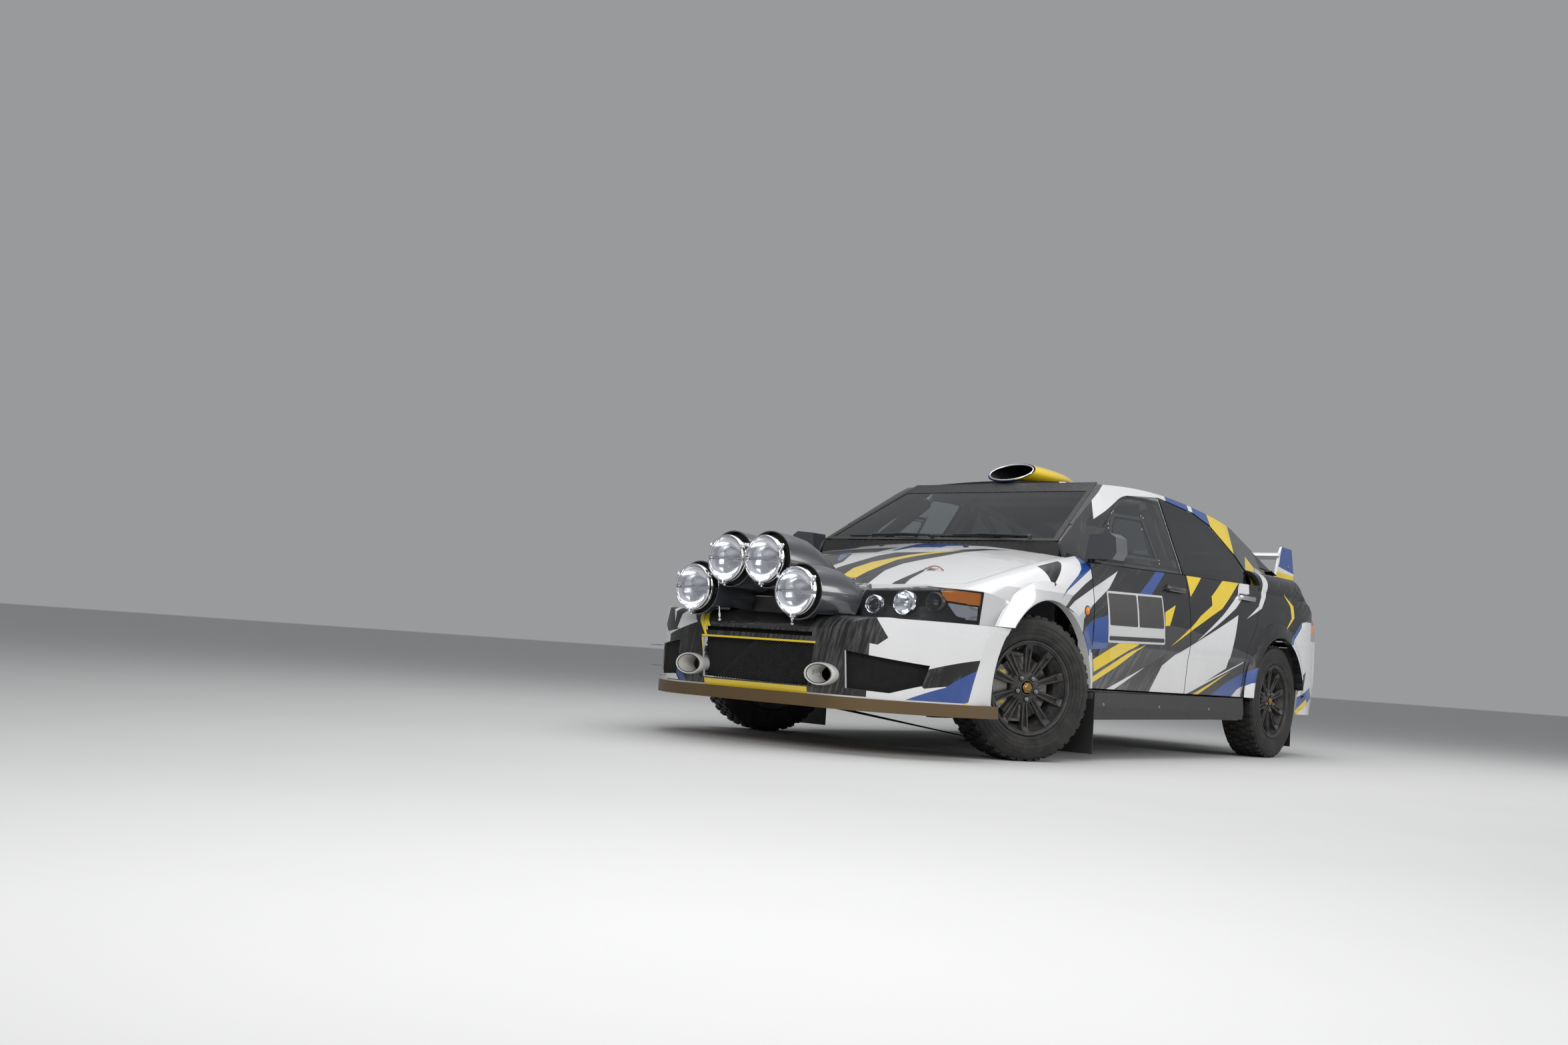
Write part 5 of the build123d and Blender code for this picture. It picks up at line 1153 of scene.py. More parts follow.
class SALOON_OT_pod_lamps(bpy.types.Operator):
    """Round lamps with reflector, fluted lens, shield bar and three sprung clips each"""
    bl_idname = "saloon.pod_lamps"
    bl_label = "Pod lamps"

    def execute(self, context):
        glass = sizes().lamp_glass * 500
        bodies, lenses = bmesh.new(), bmesh.new()
        for side in SIDES.values():
            for x, z in LAMPS:
                spot = facing_back(side * x, z)
                add_ring(bodies, spot, LAMP_SHELL, 64, 1)
                add_ring(bodies, spot, [(96, -112), (101.5, -114), (101.5, -122), (99.5, -124), (101.5, -126),
                                        (101.5, -137), (100, -141), (97.5, -143), (94, -142.5), (glass, -139),
                                        (glass - 0.5, -126), (96, -124)], 72, 0, closed=True)
                add_ring(bodies, spot, LAMP_BOWL, 64, 2)
                add_ring(bodies, spot, BULB, 24, 0)
                add_box(bodies, spot @ Vector((-0.1285, -0.089, -0.0045)), spot @ Vector((-0.1225, 0.089, 0.0045)),
                        0.0015, 1)
                add_ring(lenses, spot, [(0.01, -141.8), (30, -141.5), (60, -140.4), (82, -138.6), (glass - 1, -137),
                                        (glass - 1, -134), (82, -135.6), (60, -137.4), (30, -138.5),
                                        (0.01, -138.8)], 64, 0)
                for angle in CLIP_ANGLES:
                    turn = spot @ about_axle(angle + 90)
                    add_wire(bodies, [turn @ (Vector(p) / 1000) for p in CLIP_WIRE], 0.0019, 0, resolution=2)
                    add_ball(bodies, turn @ Vector((-0.1418, 0, 0.1065)), 0.0058, 0)
                    add_ball(bodies, turn @ Vector((-0.127, 0, 0.1135)), 0.0065, 0)
                    add_box(bodies, (-0.124, -0.008, 0.098), (-0.110, 0.008, 0.106), 0.002, 0, matrix=turn)
        piece(bodies, "pod_lamp_bodies", "hood", "chrome", "black gloss", "reflector", smooth=40,
              stands_for=("pod_lamps",))
        piece(lenses, "pod_lamp_lenses", "hood", "fluted glass", smooth=60)
        return {"FINISHED"}


# Height over width of a mesh's diamonds
GAUZE_SLANT = 0.8


def add_gauze(bm, outline, pitch, tree, thickness):
    """Woven wire laid on a surface inside a convex outline of the front view."""
    xs, zs = [p[0] for p in outline], [p[1] for p in outline]
    middle = ((min(xs) + max(xs)) / 2, (min(zs) + max(zs)) / 2)
    size = max(max(xs) - min(xs), max(zs) - min(zs)) / 1000 * 0.75
    count = int(2 * size / pitch)
    start = len(bm.verts)
    bmesh.ops.create_grid(bm, x_segments=count, y_segments=count, size=size)
    place = (Matrix.Translation(mm(middle[0], MIDDLE, middle[1])) @ Matrix.Rotation(math.pi / 2, 4, "X")
             @ Matrix.Diagonal((1.0, GAUZE_SLANT, 1, 1)) @ Matrix.Rotation(math.pi / 4, 4, "Z"))
    moved(bm, start, place)
    bm.verts.ensure_lookup_table()
    fresh = set(bm.verts[start:])
    area = sum(a[0] * b[1] - b[0] * a[1] for a, b in zip(outline, outline[1:] + outline[:1]))
    for a, b in zip(outline, outline[1:] + outline[:1]):
        normal = Vector((b[1] - a[1], 0, a[0] - b[0])) * math.copysign(1, area)
        geom = [g for g in list(bm.verts) + list(bm.edges) + list(bm.faces)
                if (g in fresh if isinstance(g, bmesh.types.BMVert) else all(v in fresh for v in g.verts))]
        bmesh.ops.bisect_plane(bm, geom=geom, dist=1e-6, plane_co=mm(a[0], MIDDLE, a[1]), plane_no=normal,
                               clear_outer=True)
        bm.verts.ensure_lookup_table()
        fresh = set(bm.verts[start:])
    for vert in fresh:
        spot, _ = hit(tree, vert.co, (0, 1, 0))
        if spot is None:
            spot, _, _, _ = tree.find_nearest(vert.co + Vector((0, -MIDDLE / 1000, 0)))
        vert.co.y = spot.y
    faces = [f for f in bm.faces if all(v in fresh for v in f.verts)]
    bmesh.ops.wireframe(bm, faces=faces, thickness=thickness, use_replace=True, use_boundary=True,
                        use_even_offset=False)


# Openings of the front view that hold gauze, and the ducts' centre
INTAKE = [(-301, 260), (301, 260), (323, 451), (-323, 451)]
FOG = [(455, 430), (470, 262), (640, 254), (742, 296), (760, 390)]
DUCT = (366, 320)
DUCT_SQUASH = 0.6


class SALOON_OT_openings(bpy.types.Operator):
    """Woven grille, fog recess gauze, oval duct mouths and a near-black sheet of painted shade behind the grille"""
    bl_idname = "saloon.openings"
    bl_label = "Grille and ducts"

    def execute(self, context):
        tree = surface("grille_mesh")
        bm = bmesh.new()
        add_gauze(bm, INTAKE, sizes().mesh_pitch, tree, 0.0026)
        for side in SIDES.values():
            outline = [(side * x, z) for x, z in FOG]
            add_gauze(bm, outline if side < 0 else outline[::-1], sizes().mesh_pitch, tree, 0.0024)
        piece(bm, "woven_grille", "body", "grille wire", smooth=0, stands_for=("grille_mesh",), tidy=False)
        # A near-black copy of the grille, set back behind it as painted shade in the opening
        bm = node_copy("grille_mesh")
        bmesh.ops.translate(bm, vec=(0, 0.022, 0), verts=bm.verts)
        for vert in bm.verts:
            vert.co.x *= 0.985
        piece(bm, "grille_painted_shade_backing", "body", "painted shade black", stands_for=("grille_mesh",), tidy=False)
        bm = bmesh.new()
        for side in SIDES.values():
            start = len(bm.verts)
            turn = Matrix.Rotation(math.pi / 2, 4, "Z")
            add_ring(bm, turn, [(60, 60), (60, -30), (64, -38), (70, -41.5), (76, -41), (79, -36), (80, -24), (80, -4),
                                (74, -4), (68, -24), (64, 60)], 64, closed=True)
            moved(bm, start, Matrix.Translation(mm(side * DUCT[0], 0, DUCT[1]))
                  @ Matrix.Diagonal((1, 1, DUCT_SQUASH, 1)))
        piece(bm, "duct_mouths", "body", "duct silver", smooth=50)
        return {"FINISHED"}


# The windscreen's slope, its foot and height, its half width at the foot and how much it narrows, and its crown
SCREEN_LEAN = 1.693
SCREEN_FOOT, SCREEN_RISE = 1004, 359
SCREEN_HALF, SCREEN_TAPER, SCREEN_CROWN = 690, 139, 16
# The side glass leans in by GLASS_LEAN and its plan widens rearwards by PLAN_SPREAD
GLASS_LEAN, PLAN_SPREAD = 0.4986, 0.1418
PILLAR_FRONT = 1276
PILLAR_LOW, PILLAR_RISE = 912, 200


def slope_station(height):
    """Station of the windscreen's outer face at a height."""
    return 1216 + (height - 965) * SCREEN_LEAN


def corner_x(height):
    """Half width of the glasshouse where the windscreen meets the side."""
    return 758 + (max(slope_station(height), PILLAR_FRONT) - 1210) * PLAN_SPREAD - (height - 865) * GLASS_LEAN


def add_patch(bm, columns, rows, place, index=0):
    """Grid sheet whose points come from place(u, v), with u and v from 0 to 1."""
    start = len(bm.verts)
    made = bmesh.ops.create_grid(bm, x_segments=columns, y_segments=rows, size=0.5)
    for vert in made["verts"]:
        vert.co = place(vert.co.x + 0.5, vert.co.y + 0.5)
    bm.verts.ensure_lookup_table()
    fresh = set(bm.verts[start:])
    mark([f for f in bm.faces if f.verts[0] in fresh], index)


def screen_point(u, v):
    """Point of the windscreen, u across and v up, both from 0 to 1."""
    height = SCREEN_FOOT + SCREEN_RISE * v
    across = 2 * u - 1
    half = SCREEN_HALF - SCREEN_TAPER * v
    crown = SCREEN_CROWN * (1 - across ** 4) * math.sin(math.pi * v) ** 0.8
    return mm(across * half, slope_station(height) - crown, height)


def pillar_point(side):
    """Foot of a windscreen pillar: u runs from the glass round the corner to the door's glass, v up."""
    def place(u, v):
        height = PILLAR_LOW + PILLAR_RISE * v
        front = max(slope_station(height), PILLAR_FRONT)
        back = 1448 + max(0, height - 921) * 0.754 if height < 990 else 1500 + (height - 990) * 1.557
        edge, corner = SCREEN_HALF - 0.388 * (height - SCREEN_FOOT), corner_x(height)
        if u < 0.3:
            t = u / 0.3
            return mm(side * (edge + (corner - edge) * t + 1.0 * t), front - 0.6, height)
        t = (u - 0.3) / 0.7
        station = front + (back + 22 - front) * t
        return mm(side * (corner + (station - front) * PLAN_SPREAD + 1.0), station, height)
    return place


class SALOON_OT_glasshouse(bpy.types.Operator):
    """Windscreen with its sun strip, feet of the pillars, cowl and rear deck"""
    bl_idname = "saloon.glasshouse"
    bl_label = "Glasshouse"

    def execute(self, context):
        bm = bmesh.new()
        add_patch(bm, 24, 16, screen_point)
        thicken(piece(bm, "windscreen_glass", "body", "screen glass", smooth=60, stands_for=("windscreen",),
                      tidy=False), 0.005, 0)
        bm = bmesh.new()
        add_patch(bm, 24, 3, lambda u, v: screen_point(u, 0.84 + 0.16 * v) + Vector((0, -0.0018, 0.0030)), 0)
        for low, high in ((0.0, 0.035), (0.985, 1.0)):
            add_patch(bm, 24, 1, lambda u, v: screen_point(u, low + (high - low) * v) + Vector((0, -0.0020, 0.0032)), 1)
        for low, high in ((0.0, 0.022), (0.978, 1.0)):
            add_patch(bm, 1, 14, lambda u, v: screen_point(low + (high - low) * u, v) + Vector((0, -0.0021, 0.0033)), 1)
        strip = piece(bm, "sun_strip", "body", "black vinyl", "rubber", tidy=False)
        thicken(strip, 0.0012, 0)
        bm = bmesh.new()
        for side in SIDES.values():
            add_patch(bm, 10, 10, pillar_point(side))
        thicken(piece(bm, "pillar_feet", "body", "grey vinyl", smooth=50), 0.004, -1)
        bm = bmesh.new()
        add_patch(bm, 30, 5, lambda u, v: mm((2 * u - 1) * 700, 1273 + 12 * v,
                                             (984 - 55 * (2 * u - 1) ** 2) * (1 - v) + 1006 * v))
        for i in range(26):
            add_rod(bm, mm(-520 + 40 * i, 1276, 1000), mm(-510 + 40 * i, 1277, 992), 0.002, 0, 6)
        piece(bm, "cowl", "body", "black plastic", smooth=50)
        bm = bmesh.new()
        add_patch(bm, 20, 4, lambda u, v: mm((2 * u - 1) * (652 + 6 * v), 3929 + 57 * v,
                                             1096.5 - 22 * v + 3 * math.sin(math.pi * u)))
        thicken(piece(bm, "rear_deck", "body", "charcoal side", smooth=50), 0.006, -1)
        return {"FINISHED"}


# Outlines of the side glass and of its sliding panel in the side view
FRONT_PANE = [(1500, 958), (1660, 1088), (1790, 1200), (1900, 1262), (1990, 1290), (2090, 1308), (2250, 1318),
              (2434, 1318), (2352, 956)]
REAR_PANE = [(2402, 962), (2492, 1316), (2600, 1312), (2880, 1290), (3060, 1240), (3250, 1112), (3352, 1006),
             (3330, 980)]
SLIDER = [(1700, 975), (1760, 1130), (1860, 1205), (2170, 1215), (2150, 985)]


class SALOON_OT_side_glass(bpy.types.Operator):
    """Rubber seals round the side windows, framed sliding panel and rivets on the front ones"""
    bl_idname = "saloon.side_glass"
    bl_label = "Side window trim"

    def execute(self, context):
        for side, sign in SIDES.items():
            for place, pane in (("front", FRONT_PANE), ("rear", REAR_PANE)):
                node = f"window_{place}_{side}"
                tree = surface(node, "side_frames", f"door_{place}_{side}")
                bm = bmesh.new()
                spot = lambda s, z: mm(0, s, z)
                outer = rounded(inset_loop(pane, -14), 26, 5)
                inner = rounded(inset_loop(pane, 3), 20, 5)
                add_band(bm, outer, inner, spot)
                lay_on(bm, tree, (-sign, 0, 0), -0.0022)
                for vert in bm.verts:
                    if vert.co.x * sign < 0.5:
                        spot_near, _, _, _ = tree.find_nearest(Vector((sign * 0.72, vert.co.y, vert.co.z)))
                        vert.co.x = spot_near.x
                seal = piece(bm, f"seal_{place}_{side}", f"door_{place}_{side}", "rubber", tidy=True)
                thicken(seal, 0.003, 0)
            tree = surface(f"window_front_{side}")
            bm = bmesh.new()
            add_band(bm, rounded(SLIDER, 24, 4), rounded(inset_loop(SLIDER, 15), 18, 4), spot)
            add_band(bm, rounded(inset_loop(SLIDER, 20), 16, 4), rounded(inset_loop(SLIDER, 26), 14, 4), spot, 1)
            lay_on(bm, tree, (-sign, 0, 0), -0.0035)
            frame_piece = piece(bm, f"slider_{side}", f"door_front_{side}", "grey plastic", "rubber")
            thicken(frame_piece, 0.004, 0)
            bm = bmesh.new()
            points = rounded(inset_loop(SLIDER, -9), 20, 3)
            for s, z in points[::2] + [(1760, 1000), (2110, 1150)]:
                top, _ = hit(tree, mm(0, s, z), (-sign, 0, 0))
                if top is not None:
                    add_ball(bm, top, 0.0052, 0, (0.5, 1, 1), 10)
            top, _ = hit(tree, mm(0, 1800, 1060), (-sign, 0, 0))
            add_box(bm, top + Vector((-0.004, -0.03, -0.012)), top + Vector((0.012 if sign > 0 else 0.004, 0.03, 0.012))
                    if sign > 0 else top + Vector((0.004, 0.03, 0.012)), 0.003, 1)
            piece(bm, f"window_rivets_{side}", f"door_front_{side}", "steel", "black plastic")
        return {"FINISHED"}


# Slot of each field, 0 for the white ground and 1 for the dark fields on it, with its outline in the side view
PANEL_FIELDS = [(0, NUMBER_PANEL), (1, [(1484, 783), (1772, 793), (1784, 640), (1502, 634)]),
                (1, [(1788, 793), (2050, 802), (2066, 648), (1800, 641)]),
                (1, [(1500, 583), (2074, 600), (2078, 580), (1501, 563)])]


# Door handles: door, station, height, finish
HANDLES = [("front", 2205, 854, "black gloss"), ("rear", 3110, 876, "silver")]


class SALOON_OT_side_trim(bpy.types.Operator):
    """Blank number panels, door handles, mirrors' glass, side markers, skirt and flap fixings"""
    bl_idname = "saloon.side_trim"
    bl_label = "Side trim"

    def execute(self, context):
        for side, sign in SIDES.items():
            tree = surface("door_front_" + side)
            bm = bmesh.new()
            for index, outline in PANEL_FIELDS:
                points = rounded(outline, 10, 3)
                faces = add_sheet(bm, [mm(0, s, z) for s, z in points], 0, (sign, 0, 0), index, 0.06)
                for vert in corners_of(faces):
                    spot, _ = hit(tree, vert.co, (-sign, 0, 0))
                    vert.co = spot + Vector((sign * (0.0007 + 0.0005 * index), 0, 0))
            panel = piece(bm, f"number_panel_{side}", f"door_front_{side}", "panel white", "panel dark", tidy=False)
            thicken(panel, 0.0006, 0)
            for place, station, height, material in HANDLES:
                bm = bmesh.new()
                top, _ = hit(surface(f"door_{place}_{side}"), mm(0, station, height), (-sign, 0, 0))
                seat = outward(top, sign)
                add_box(bm, (0.006, -0.095, -0.013), (0.026, 0.095, 0.013), 0.008, 0, 3, seat)
                for y in (-0.082, 0.082):
                    add_box(bm, (-0.006, y - 0.014, -0.012), (0.016, y + 0.014, 0.012), 0.004, 0, 2, seat)
                add_box(bm, (-0.002, -0.075, -0.026), (0.0012, 0.075, 0.022), 0.001, 1, 2, seat)
                if place == "front":
                    lock = outward(top + Vector((0, 0.125, 0)), sign)
                    add_ring(bm, lock, [(0.01, 3.5), (8, 3), (10, 0), (10, -4)], 24, 2)
                piece(bm, f"handle_{place}_{side}", f"door_{place}_{side}", material, "rubber", "steel")
            bm = bmesh.new()
            add_sheet(bm, [mm(sign * x, 1447, z) for x, z in rounded([(822, 942), (940, 942), (954, 966), (948, 1030),
                                                                      (922, 1042), (830, 1036)], 14, 4)],
                      0.002, (0, -1, 0))
            piece(bm, f"mirror_glass_{side}", f"door_front_{side}", "mirror")
            bm = bmesh.new()
            fender = surface("front_fenders")
            top, _ = hit(fender, mm(0, 1278, 686), (-sign, 0, 0))
            spot = outward(top, sign)
            add_ring(bm, spot, [(0.01, 9), (10, 8), (17, 5), (20, 1), (20, -3)], 36, 0)
            add_ring(bm, spot, [(20, -2), (24, -2), (24, 1.5), (20, 3)], 36, 1, closed=True)
            piece(bm, f"side_marker_{side}", "body", "amber lens", "black plastic", smooth=60)
            bm = bmesh.new()
            for s in (1480, 2060, 2640):
                add_ring(bm, outward(mm(sign * 866.6, s, 262), sign), [(0.01, 3), (6, 2.6), (8, 0.5), (8, -3)], 18, 0)
            for z, x in ((300, 690), (300, 780), (300, 868)):
                add_ring(bm, Matrix.Translation(mm(sign * x, 1330.6, z)) @ Matrix.Rotation(math.pi / 2, 4, "Z"),
                         [(0.01, -4), (5, -3.6), (7, 0)], 12, 0)
            add_box(bm, mm(sign * 770 - 118, 1327.4, 286), mm(sign * 770 + 118, 1330.2, 314), 0.001, 1)
            piece(bm, f"skirt_fixings_{side}", "body", "steel", "silver")
        return {"FINISHED"}


def looks_out(face):
    """Whether a face of a headlamp belongs to its cover, which looks ahead or up."""
    return face.normal.y < -0.1 or (face.normal.z > 0.45 and abs(face.normal.x) < 0.8)


class SALOON_OT_headlamps(bpy.types.Operator):
    """Clear covers over a black housing with projector, reflector and amber indicator"""
    bl_idname = "saloon.headlamps"
    bl_label = "Headlamps"

    def execute(self, context):
        tree = surface("headlamps")
        bm = node_copy("headlamps")
        bmesh.ops.delete(bm, geom=[f for f in bm.faces if not looks_out(f)], context="FACES")
        cover = piece(bm, "headlamp_covers", "body", "smoked lens", smooth=60, stands_for=("headlamps",), tidy=False)
        thicken(cover, 0.0025)
        bm = node_copy("headlamps")
        bmesh.ops.delete(bm, geom=[f for f in bm.faces if looks_out(f)], context="FACES")
        housing = piece(bm, "headlamp_housings", "body", "lamp black", smooth=40, stands_for=("headlamps",), tidy=False)
        thicken(housing, 0.002)
        bm = bmesh.new()
        for side in SIDES.values():
            for x, z, radius, kind in ((430, 626, 34, "projector"), (548, 640, 46, "bowl"), (652, 652, 36, "outer")):
                front, _ = hit(tree, mm(side * x, 0, z), (0, 1, 0))
                spot = Matrix.Translation(front + Vector((0, 0.016, 0))) @ Matrix.Rotation(math.pi / 2, 4, "Z")
                add_ring(bm, spot, [(radius, 60), (radius + 6, 40), (radius + 7, 2), (radius + 4, -1), (radius, 2),
                                    (radius - 2, 14)], 40, 0 if kind != "outer" else 3)
                if kind == "projector":
                    add_ring(bm, spot, [(radius - 3, 14), (radius - 8, 4), (radius - 8, 20)], 40, 1)
                    add_ring(bm, spot, [(0.01, -2), (10, -1), (19, 4), (25, 12), (25, 20)], 40, 2)
                elif kind == "bowl":
                    add_ring(bm, spot, [(radius - 1, 8), (radius - 8, 26), (24, 44), (10, 50), (0.01, 50)], 40, 1)
                    add_ring(bm, spot, [(0.01, 6), (8, 8), (10, 14), (10, 30), (6, 48)], 20, 2)
                else:
                    add_ring(bm, spot, [(radius - 1, 6), (radius - 8, 22), (12, 40), (0.01, 42)], 40, 3)
        piece(bm, "headlamp_reflectors", "body", "chrome", "reflector", "lens glass", "lamp black", smooth=50,
              stands_for=("headlamps",))
        for name, outline, material in (("indicator", [(676, 712), (806, 704), (802, 652), (690, 664)], "amber lens"),
                                        ("side_lamp", [(700, 654), (800, 644), (797, 588), (730, 600)], "chrome")):
            bm = bmesh.new()
            for side in SIDES.values():
                points = [(side * x, z) for x, z in rounded(outline, 8, 3)]
                faces = add_sheet(bm, [mm(x, 0, z) for x, z in points], 0, (0, 1, 0), 0, 0.014)
                for vert in corners_of(faces):
                    front, _ = hit(tree, vert.co, (0, 1, 0))
                    if front is None:
                        front, _, _, _ = tree.find_nearest(vert.co + Vector((0, 0.4, 0)))
                    vert.co = front + Vector((-side * 0.004, 0.008, -0.002))
            inner = piece(bm, "headlamp_" + name, "body", material, tidy=False)
            thicken(inner, 0.002)
        return {"FINISHED"}


# Heights where the clear field and the amber field of a tail lamp end
REVERSING_TOP, INDICATOR_TOP = 736, 788


class SALOON_OT_tail_lamps(bpy.types.Operator):
    """Tail lamps that follow the rounded corners, in red, amber and clear fields"""
    bl_idname = "saloon.tail_lamps"
    bl_label = "Tail lamps"

    def execute(self, context):
        bm = node_copy("tail_lamps")
        round_tail(bm)
        for height in (REVERSING_TOP, INDICATOR_TOP):
            cut_across(bm, 2, height / 1000)
        for face in bm.faces:
            height = face.calc_center_median().z * 1000
            face.material_index = 1 if height < REVERSING_TOP else 2 if height < INDICATOR_TOP else 0
        piece(bm, "tail_lamp_lenses", "body", "red lens", "chrome", "amber lens", smooth=50, stands_for=("tail_lamps",),
              tidy=False)
        return {"FINISHED"}


# Ovals of the roof scoop from its mouth: (station, half width, half height, height, rake)
SCOOP = [(1965, 136, 60, 1436, 1.35), (2060, 136, 61, 1438, 1.1), (2200, 134, 58, 1440, 0.6),
         (2350, 118, 48, 1446, 0.3), (2480, 84, 30, 1450, 0.2), (2540, 50, 14, 1446, 0)]
SCOOP_THROAT = [(1962, 126, 51, 1437, 1.35), (2060, 124, 50, 1438, 1.1), (2200, 112, 44, 1440, 0.6)]


class SALOON_OT_roof_scoop(bpy.types.Operator):
    """Oval scoop on the roof with a silver lip round its throat, whose inside is near-black painted shade"""
    bl_idname = "saloon.roof_scoop"
    bl_label = "Roof scoop"

    def execute(self, context):
        tree = surface("roof_panel")
        bm = bmesh.new()
        loops, _ = tube_of(bm, [((0, s, z), w, h, rake) for s, w, h, z, rake in SCOOP], steps=64)
        bmesh.ops.edgeloop_fill(bm, edges=loops[-1])
        rest_on(bm, tree, 0.0008)
        for face in bm.faces:
            spot = face.calc_center_median()
            face.material_index = 1 if spot.x * 1000 + (spot.y + 0.16) * 700 < 40 and spot.y < 0 else 0
        piece(bm, "scoop_shell", "body", "yellow vinyl", "blue vinyl", smooth=50, stands_for=("roof_scoop",))
        # The throat's inside is near-black painted shade, ringed by a silver lip
        bm = bmesh.new()
        loops, _ = tube_of(bm, [((0, s, z), w, h, rake) for s, w, h, z, rake in SCOOP_THROAT], steps=64)
        bmesh.ops.edgeloop_fill(bm, edges=loops[-1])
        rest_on(bm, tree, 0.0045)
        ring = [v.co.copy() for v in bm.verts[:64]]
        add_wire(bm, ring, 0.0048, 1, cyclic=True, smooth=False)
        piece(bm, "scoop_throat", "body", "painted shade black", "silver", smooth=60)
        return {"FINISHED"}


class SALOON_OT_body_fittings(bpy.types.Operator):
    """Wipers, washer jets, hood pins with their lanyards, exhaust tip and fixings of the boot lid"""
    bl_idname = "saloon.body_fittings"
    bl_label = "Body fittings"

    def execute(self, context):
        bm = bmesh.new()
        out = Vector((0, -0.0102, 0.0172))
        for pivot, tip in ((0.90, 0.46), (0.50, 0.10)):
            foot = screen_point(pivot, 0.0) + out * 0.8 + Vector((0, -0.01, -0.004))
            knee = screen_point(pivot - 0.10, 0.045) + out
            blade = [screen_point(tip + 0.42 * t, 0.05 + 0.02 * t) + out * 0.34 for t in (0, 0.25, 0.5, 0.75, 1)]
            add_rod(bm, foot, foot + out, 0.011, 0, 16)
            add_wire(bm, [foot + out * 0.8, knee, blade[2] + out * 0.5], 0.0052, 0, smooth=True)
            add_wire(bm, blade, 0.0046, 0)
            add_wire(bm, [p + out * 0.35 for p in blade[1:4]], 0.0036, 0)
        hood = surface("hood")
        for x in (-250, 250):
            top, _ = hit(hood, mm(x, 1180, 0), (0, 0, -1))
            add_box(bm, top + Vector((-0.012, -0.008, 0)), top + Vector((0.012, 0.01, 0.007)), 0.003)
        piece(bm, "wipers", "body", "black plastic", smooth=45)
        bm = bmesh.new()
        for x in (-455, 455):
            top, normal = hit(hood, mm(x, 600, 0), (0, 0, -1))
            spot = Matrix.Translation(top) @ normal.to_track_quat("X", "Z").to_matrix().to_4x4()
            add_ring(bm, spot, [(0.01, 1.5), (17, 1.5), (19, 0), (19, -1)], 32, 0)
            add_ring(bm, spot, [(0.01, 14), (3.5, 13), (4.5, 10), (4.5, 0)], 16, 0)
            add_wire(bm, [spot @ Vector(p) for p in ((0.008, -0.03, 0.004), (0.008, 0.026, 0.004), (0.008, 0.034, 0),
                                                     (0.008, 0.026, -0.006), (0.006, -0.03, -0.006))], 0.0016, 0)
            line = []
            for i in range(29):
                t = i / 28
                line.append(spot @ Vector((0.0035 - 0.002 * t + 0.012 * math.sin(math.pi * t), -0.03 + 0.085 * t,
                                           0.022 * math.sin(math.pi * t))))
            cord_mesh = bmesh.new()
            add_wire(cord_mesh, line, 0.0022, 0, smooth=False)
            lanyard = piece(cord_mesh, "pin_lanyard_" + ("left" if x > 0 else "right"), "hood", "lanyard red",
                            smooth=60)
        piece(bm, "hood_pins", "hood", "steel", smooth=45)
        bm = bmesh.new()
        pipe = Matrix.Translation(mm(-330, 4426, 300)) @ Matrix.Rotation(math.pi / 2, 4, "Z")
        add_ring(bm, pipe, [(28, -40), (28, 3), (31, 5), (34, 3), (34, -30), (32.3, -34), (32.3, -40)], 48, closed=True)
        piece(bm, "exhaust_tip", "body", "steel", smooth=50)
        bm = bmesh.new()
        for side in SIDES.values():
            for s in (4148, 4300):
                add_ring(bm, outward(mm(side * 606, s, 1150), side), [(0.01, 3.5), (5, 3), (7, 0.5), (7, -2)], 14, 0)
        rear = surface("boot_lid")
        for x in (-330, 330):
            top, _ = hit(rear, mm(x, 4060, 0), (0, 0, -1))
            add_ring(bm, Matrix.Translation(top) @ Matrix.Rotation(-math.pi / 2, 4, "Y"),
                     [(0.01, 12), (4, 11), (5, 4), (17, 1.5), (18, 0)], 24, 0)
        piece(bm, "boot_fixings", "boot_lid", "steel", smooth=45)
        return {"FINISHED"}


# Line of a seat in the side view, with its half width and the depth of its wings at each point
SEAT_LINE = [(1890, 392), (1940, 402), (2060, 382), (2180, 360), (2280, 352), (2350, 392), (2385, 480), (2415, 600),
             (2445, 740), (2470, 860), (2492, 960), (2508, 1040), (2512, 1075)]
SEAT_HALF = [205, 215, 218, 218, 214, 212, 208, 205, 214, 205, 150, 128, 100]
SEAT_WING = [30, 70, 95, 110, 120, 130, 125, 120, 130, 110, 95, 105, 60]


def seat_at(t):
    """Point, half width and wing depth of the seat's line at t from 0 to 1, with the direction its face looks."""
    spot = t * (len(SEAT_LINE) - 1)
    i = min(int(spot), len(SEAT_LINE) - 2)
    f = spot - i
    a, b = Vector(SEAT_LINE[i]), Vector(SEAT_LINE[i + 1])
    before = Vector(SEAT_LINE[max(i - 1, 0)])
    beyond = Vector(SEAT_LINE[min(i + 2, len(SEAT_LINE) - 1)])
    along = ((b - before).normalized() * (1 - f) + (beyond - a).normalized() * f).normalized()
    blend = lambda row: row[i] + (row[i + 1] - row[i]) * f
    return a.lerp(b, f), blend(SEAT_HALF), blend(SEAT_WING), Vector((-along.y, along.x))


def seat_point(x, u, v, lift=0.0, low=0.0, high=1.0, width=1.0):
    """Point on the seat's shell, lifted towards the sitter."""
    spot, half, wing, face = seat_at(low + (high - low) * v)
    across = (2 * u - 1) * width
    rise = wing * max(0.0, (abs(across) - 0.62) / 0.38) ** 1.5 + lift
    squeeze = 1 - 0.1 * max(0.0, (abs(across) - 0.8) / 0.2)
    return mm(x + across * half * squeeze, spot.x + face.x * rise, spot.y + face.y * rise)


# Cushions: name, span along the seat's line, share of its width, height of the padding, sewn channels
PADS = [("seat_base_pad", 0.04, 0.38, 0.66, 34, 3), ("seat_back_pad", 0.46, 0.80, 0.66, 26, 4),
        ("seat_head_pad", 0.84, 0.985, 0.72, 22, 0)]


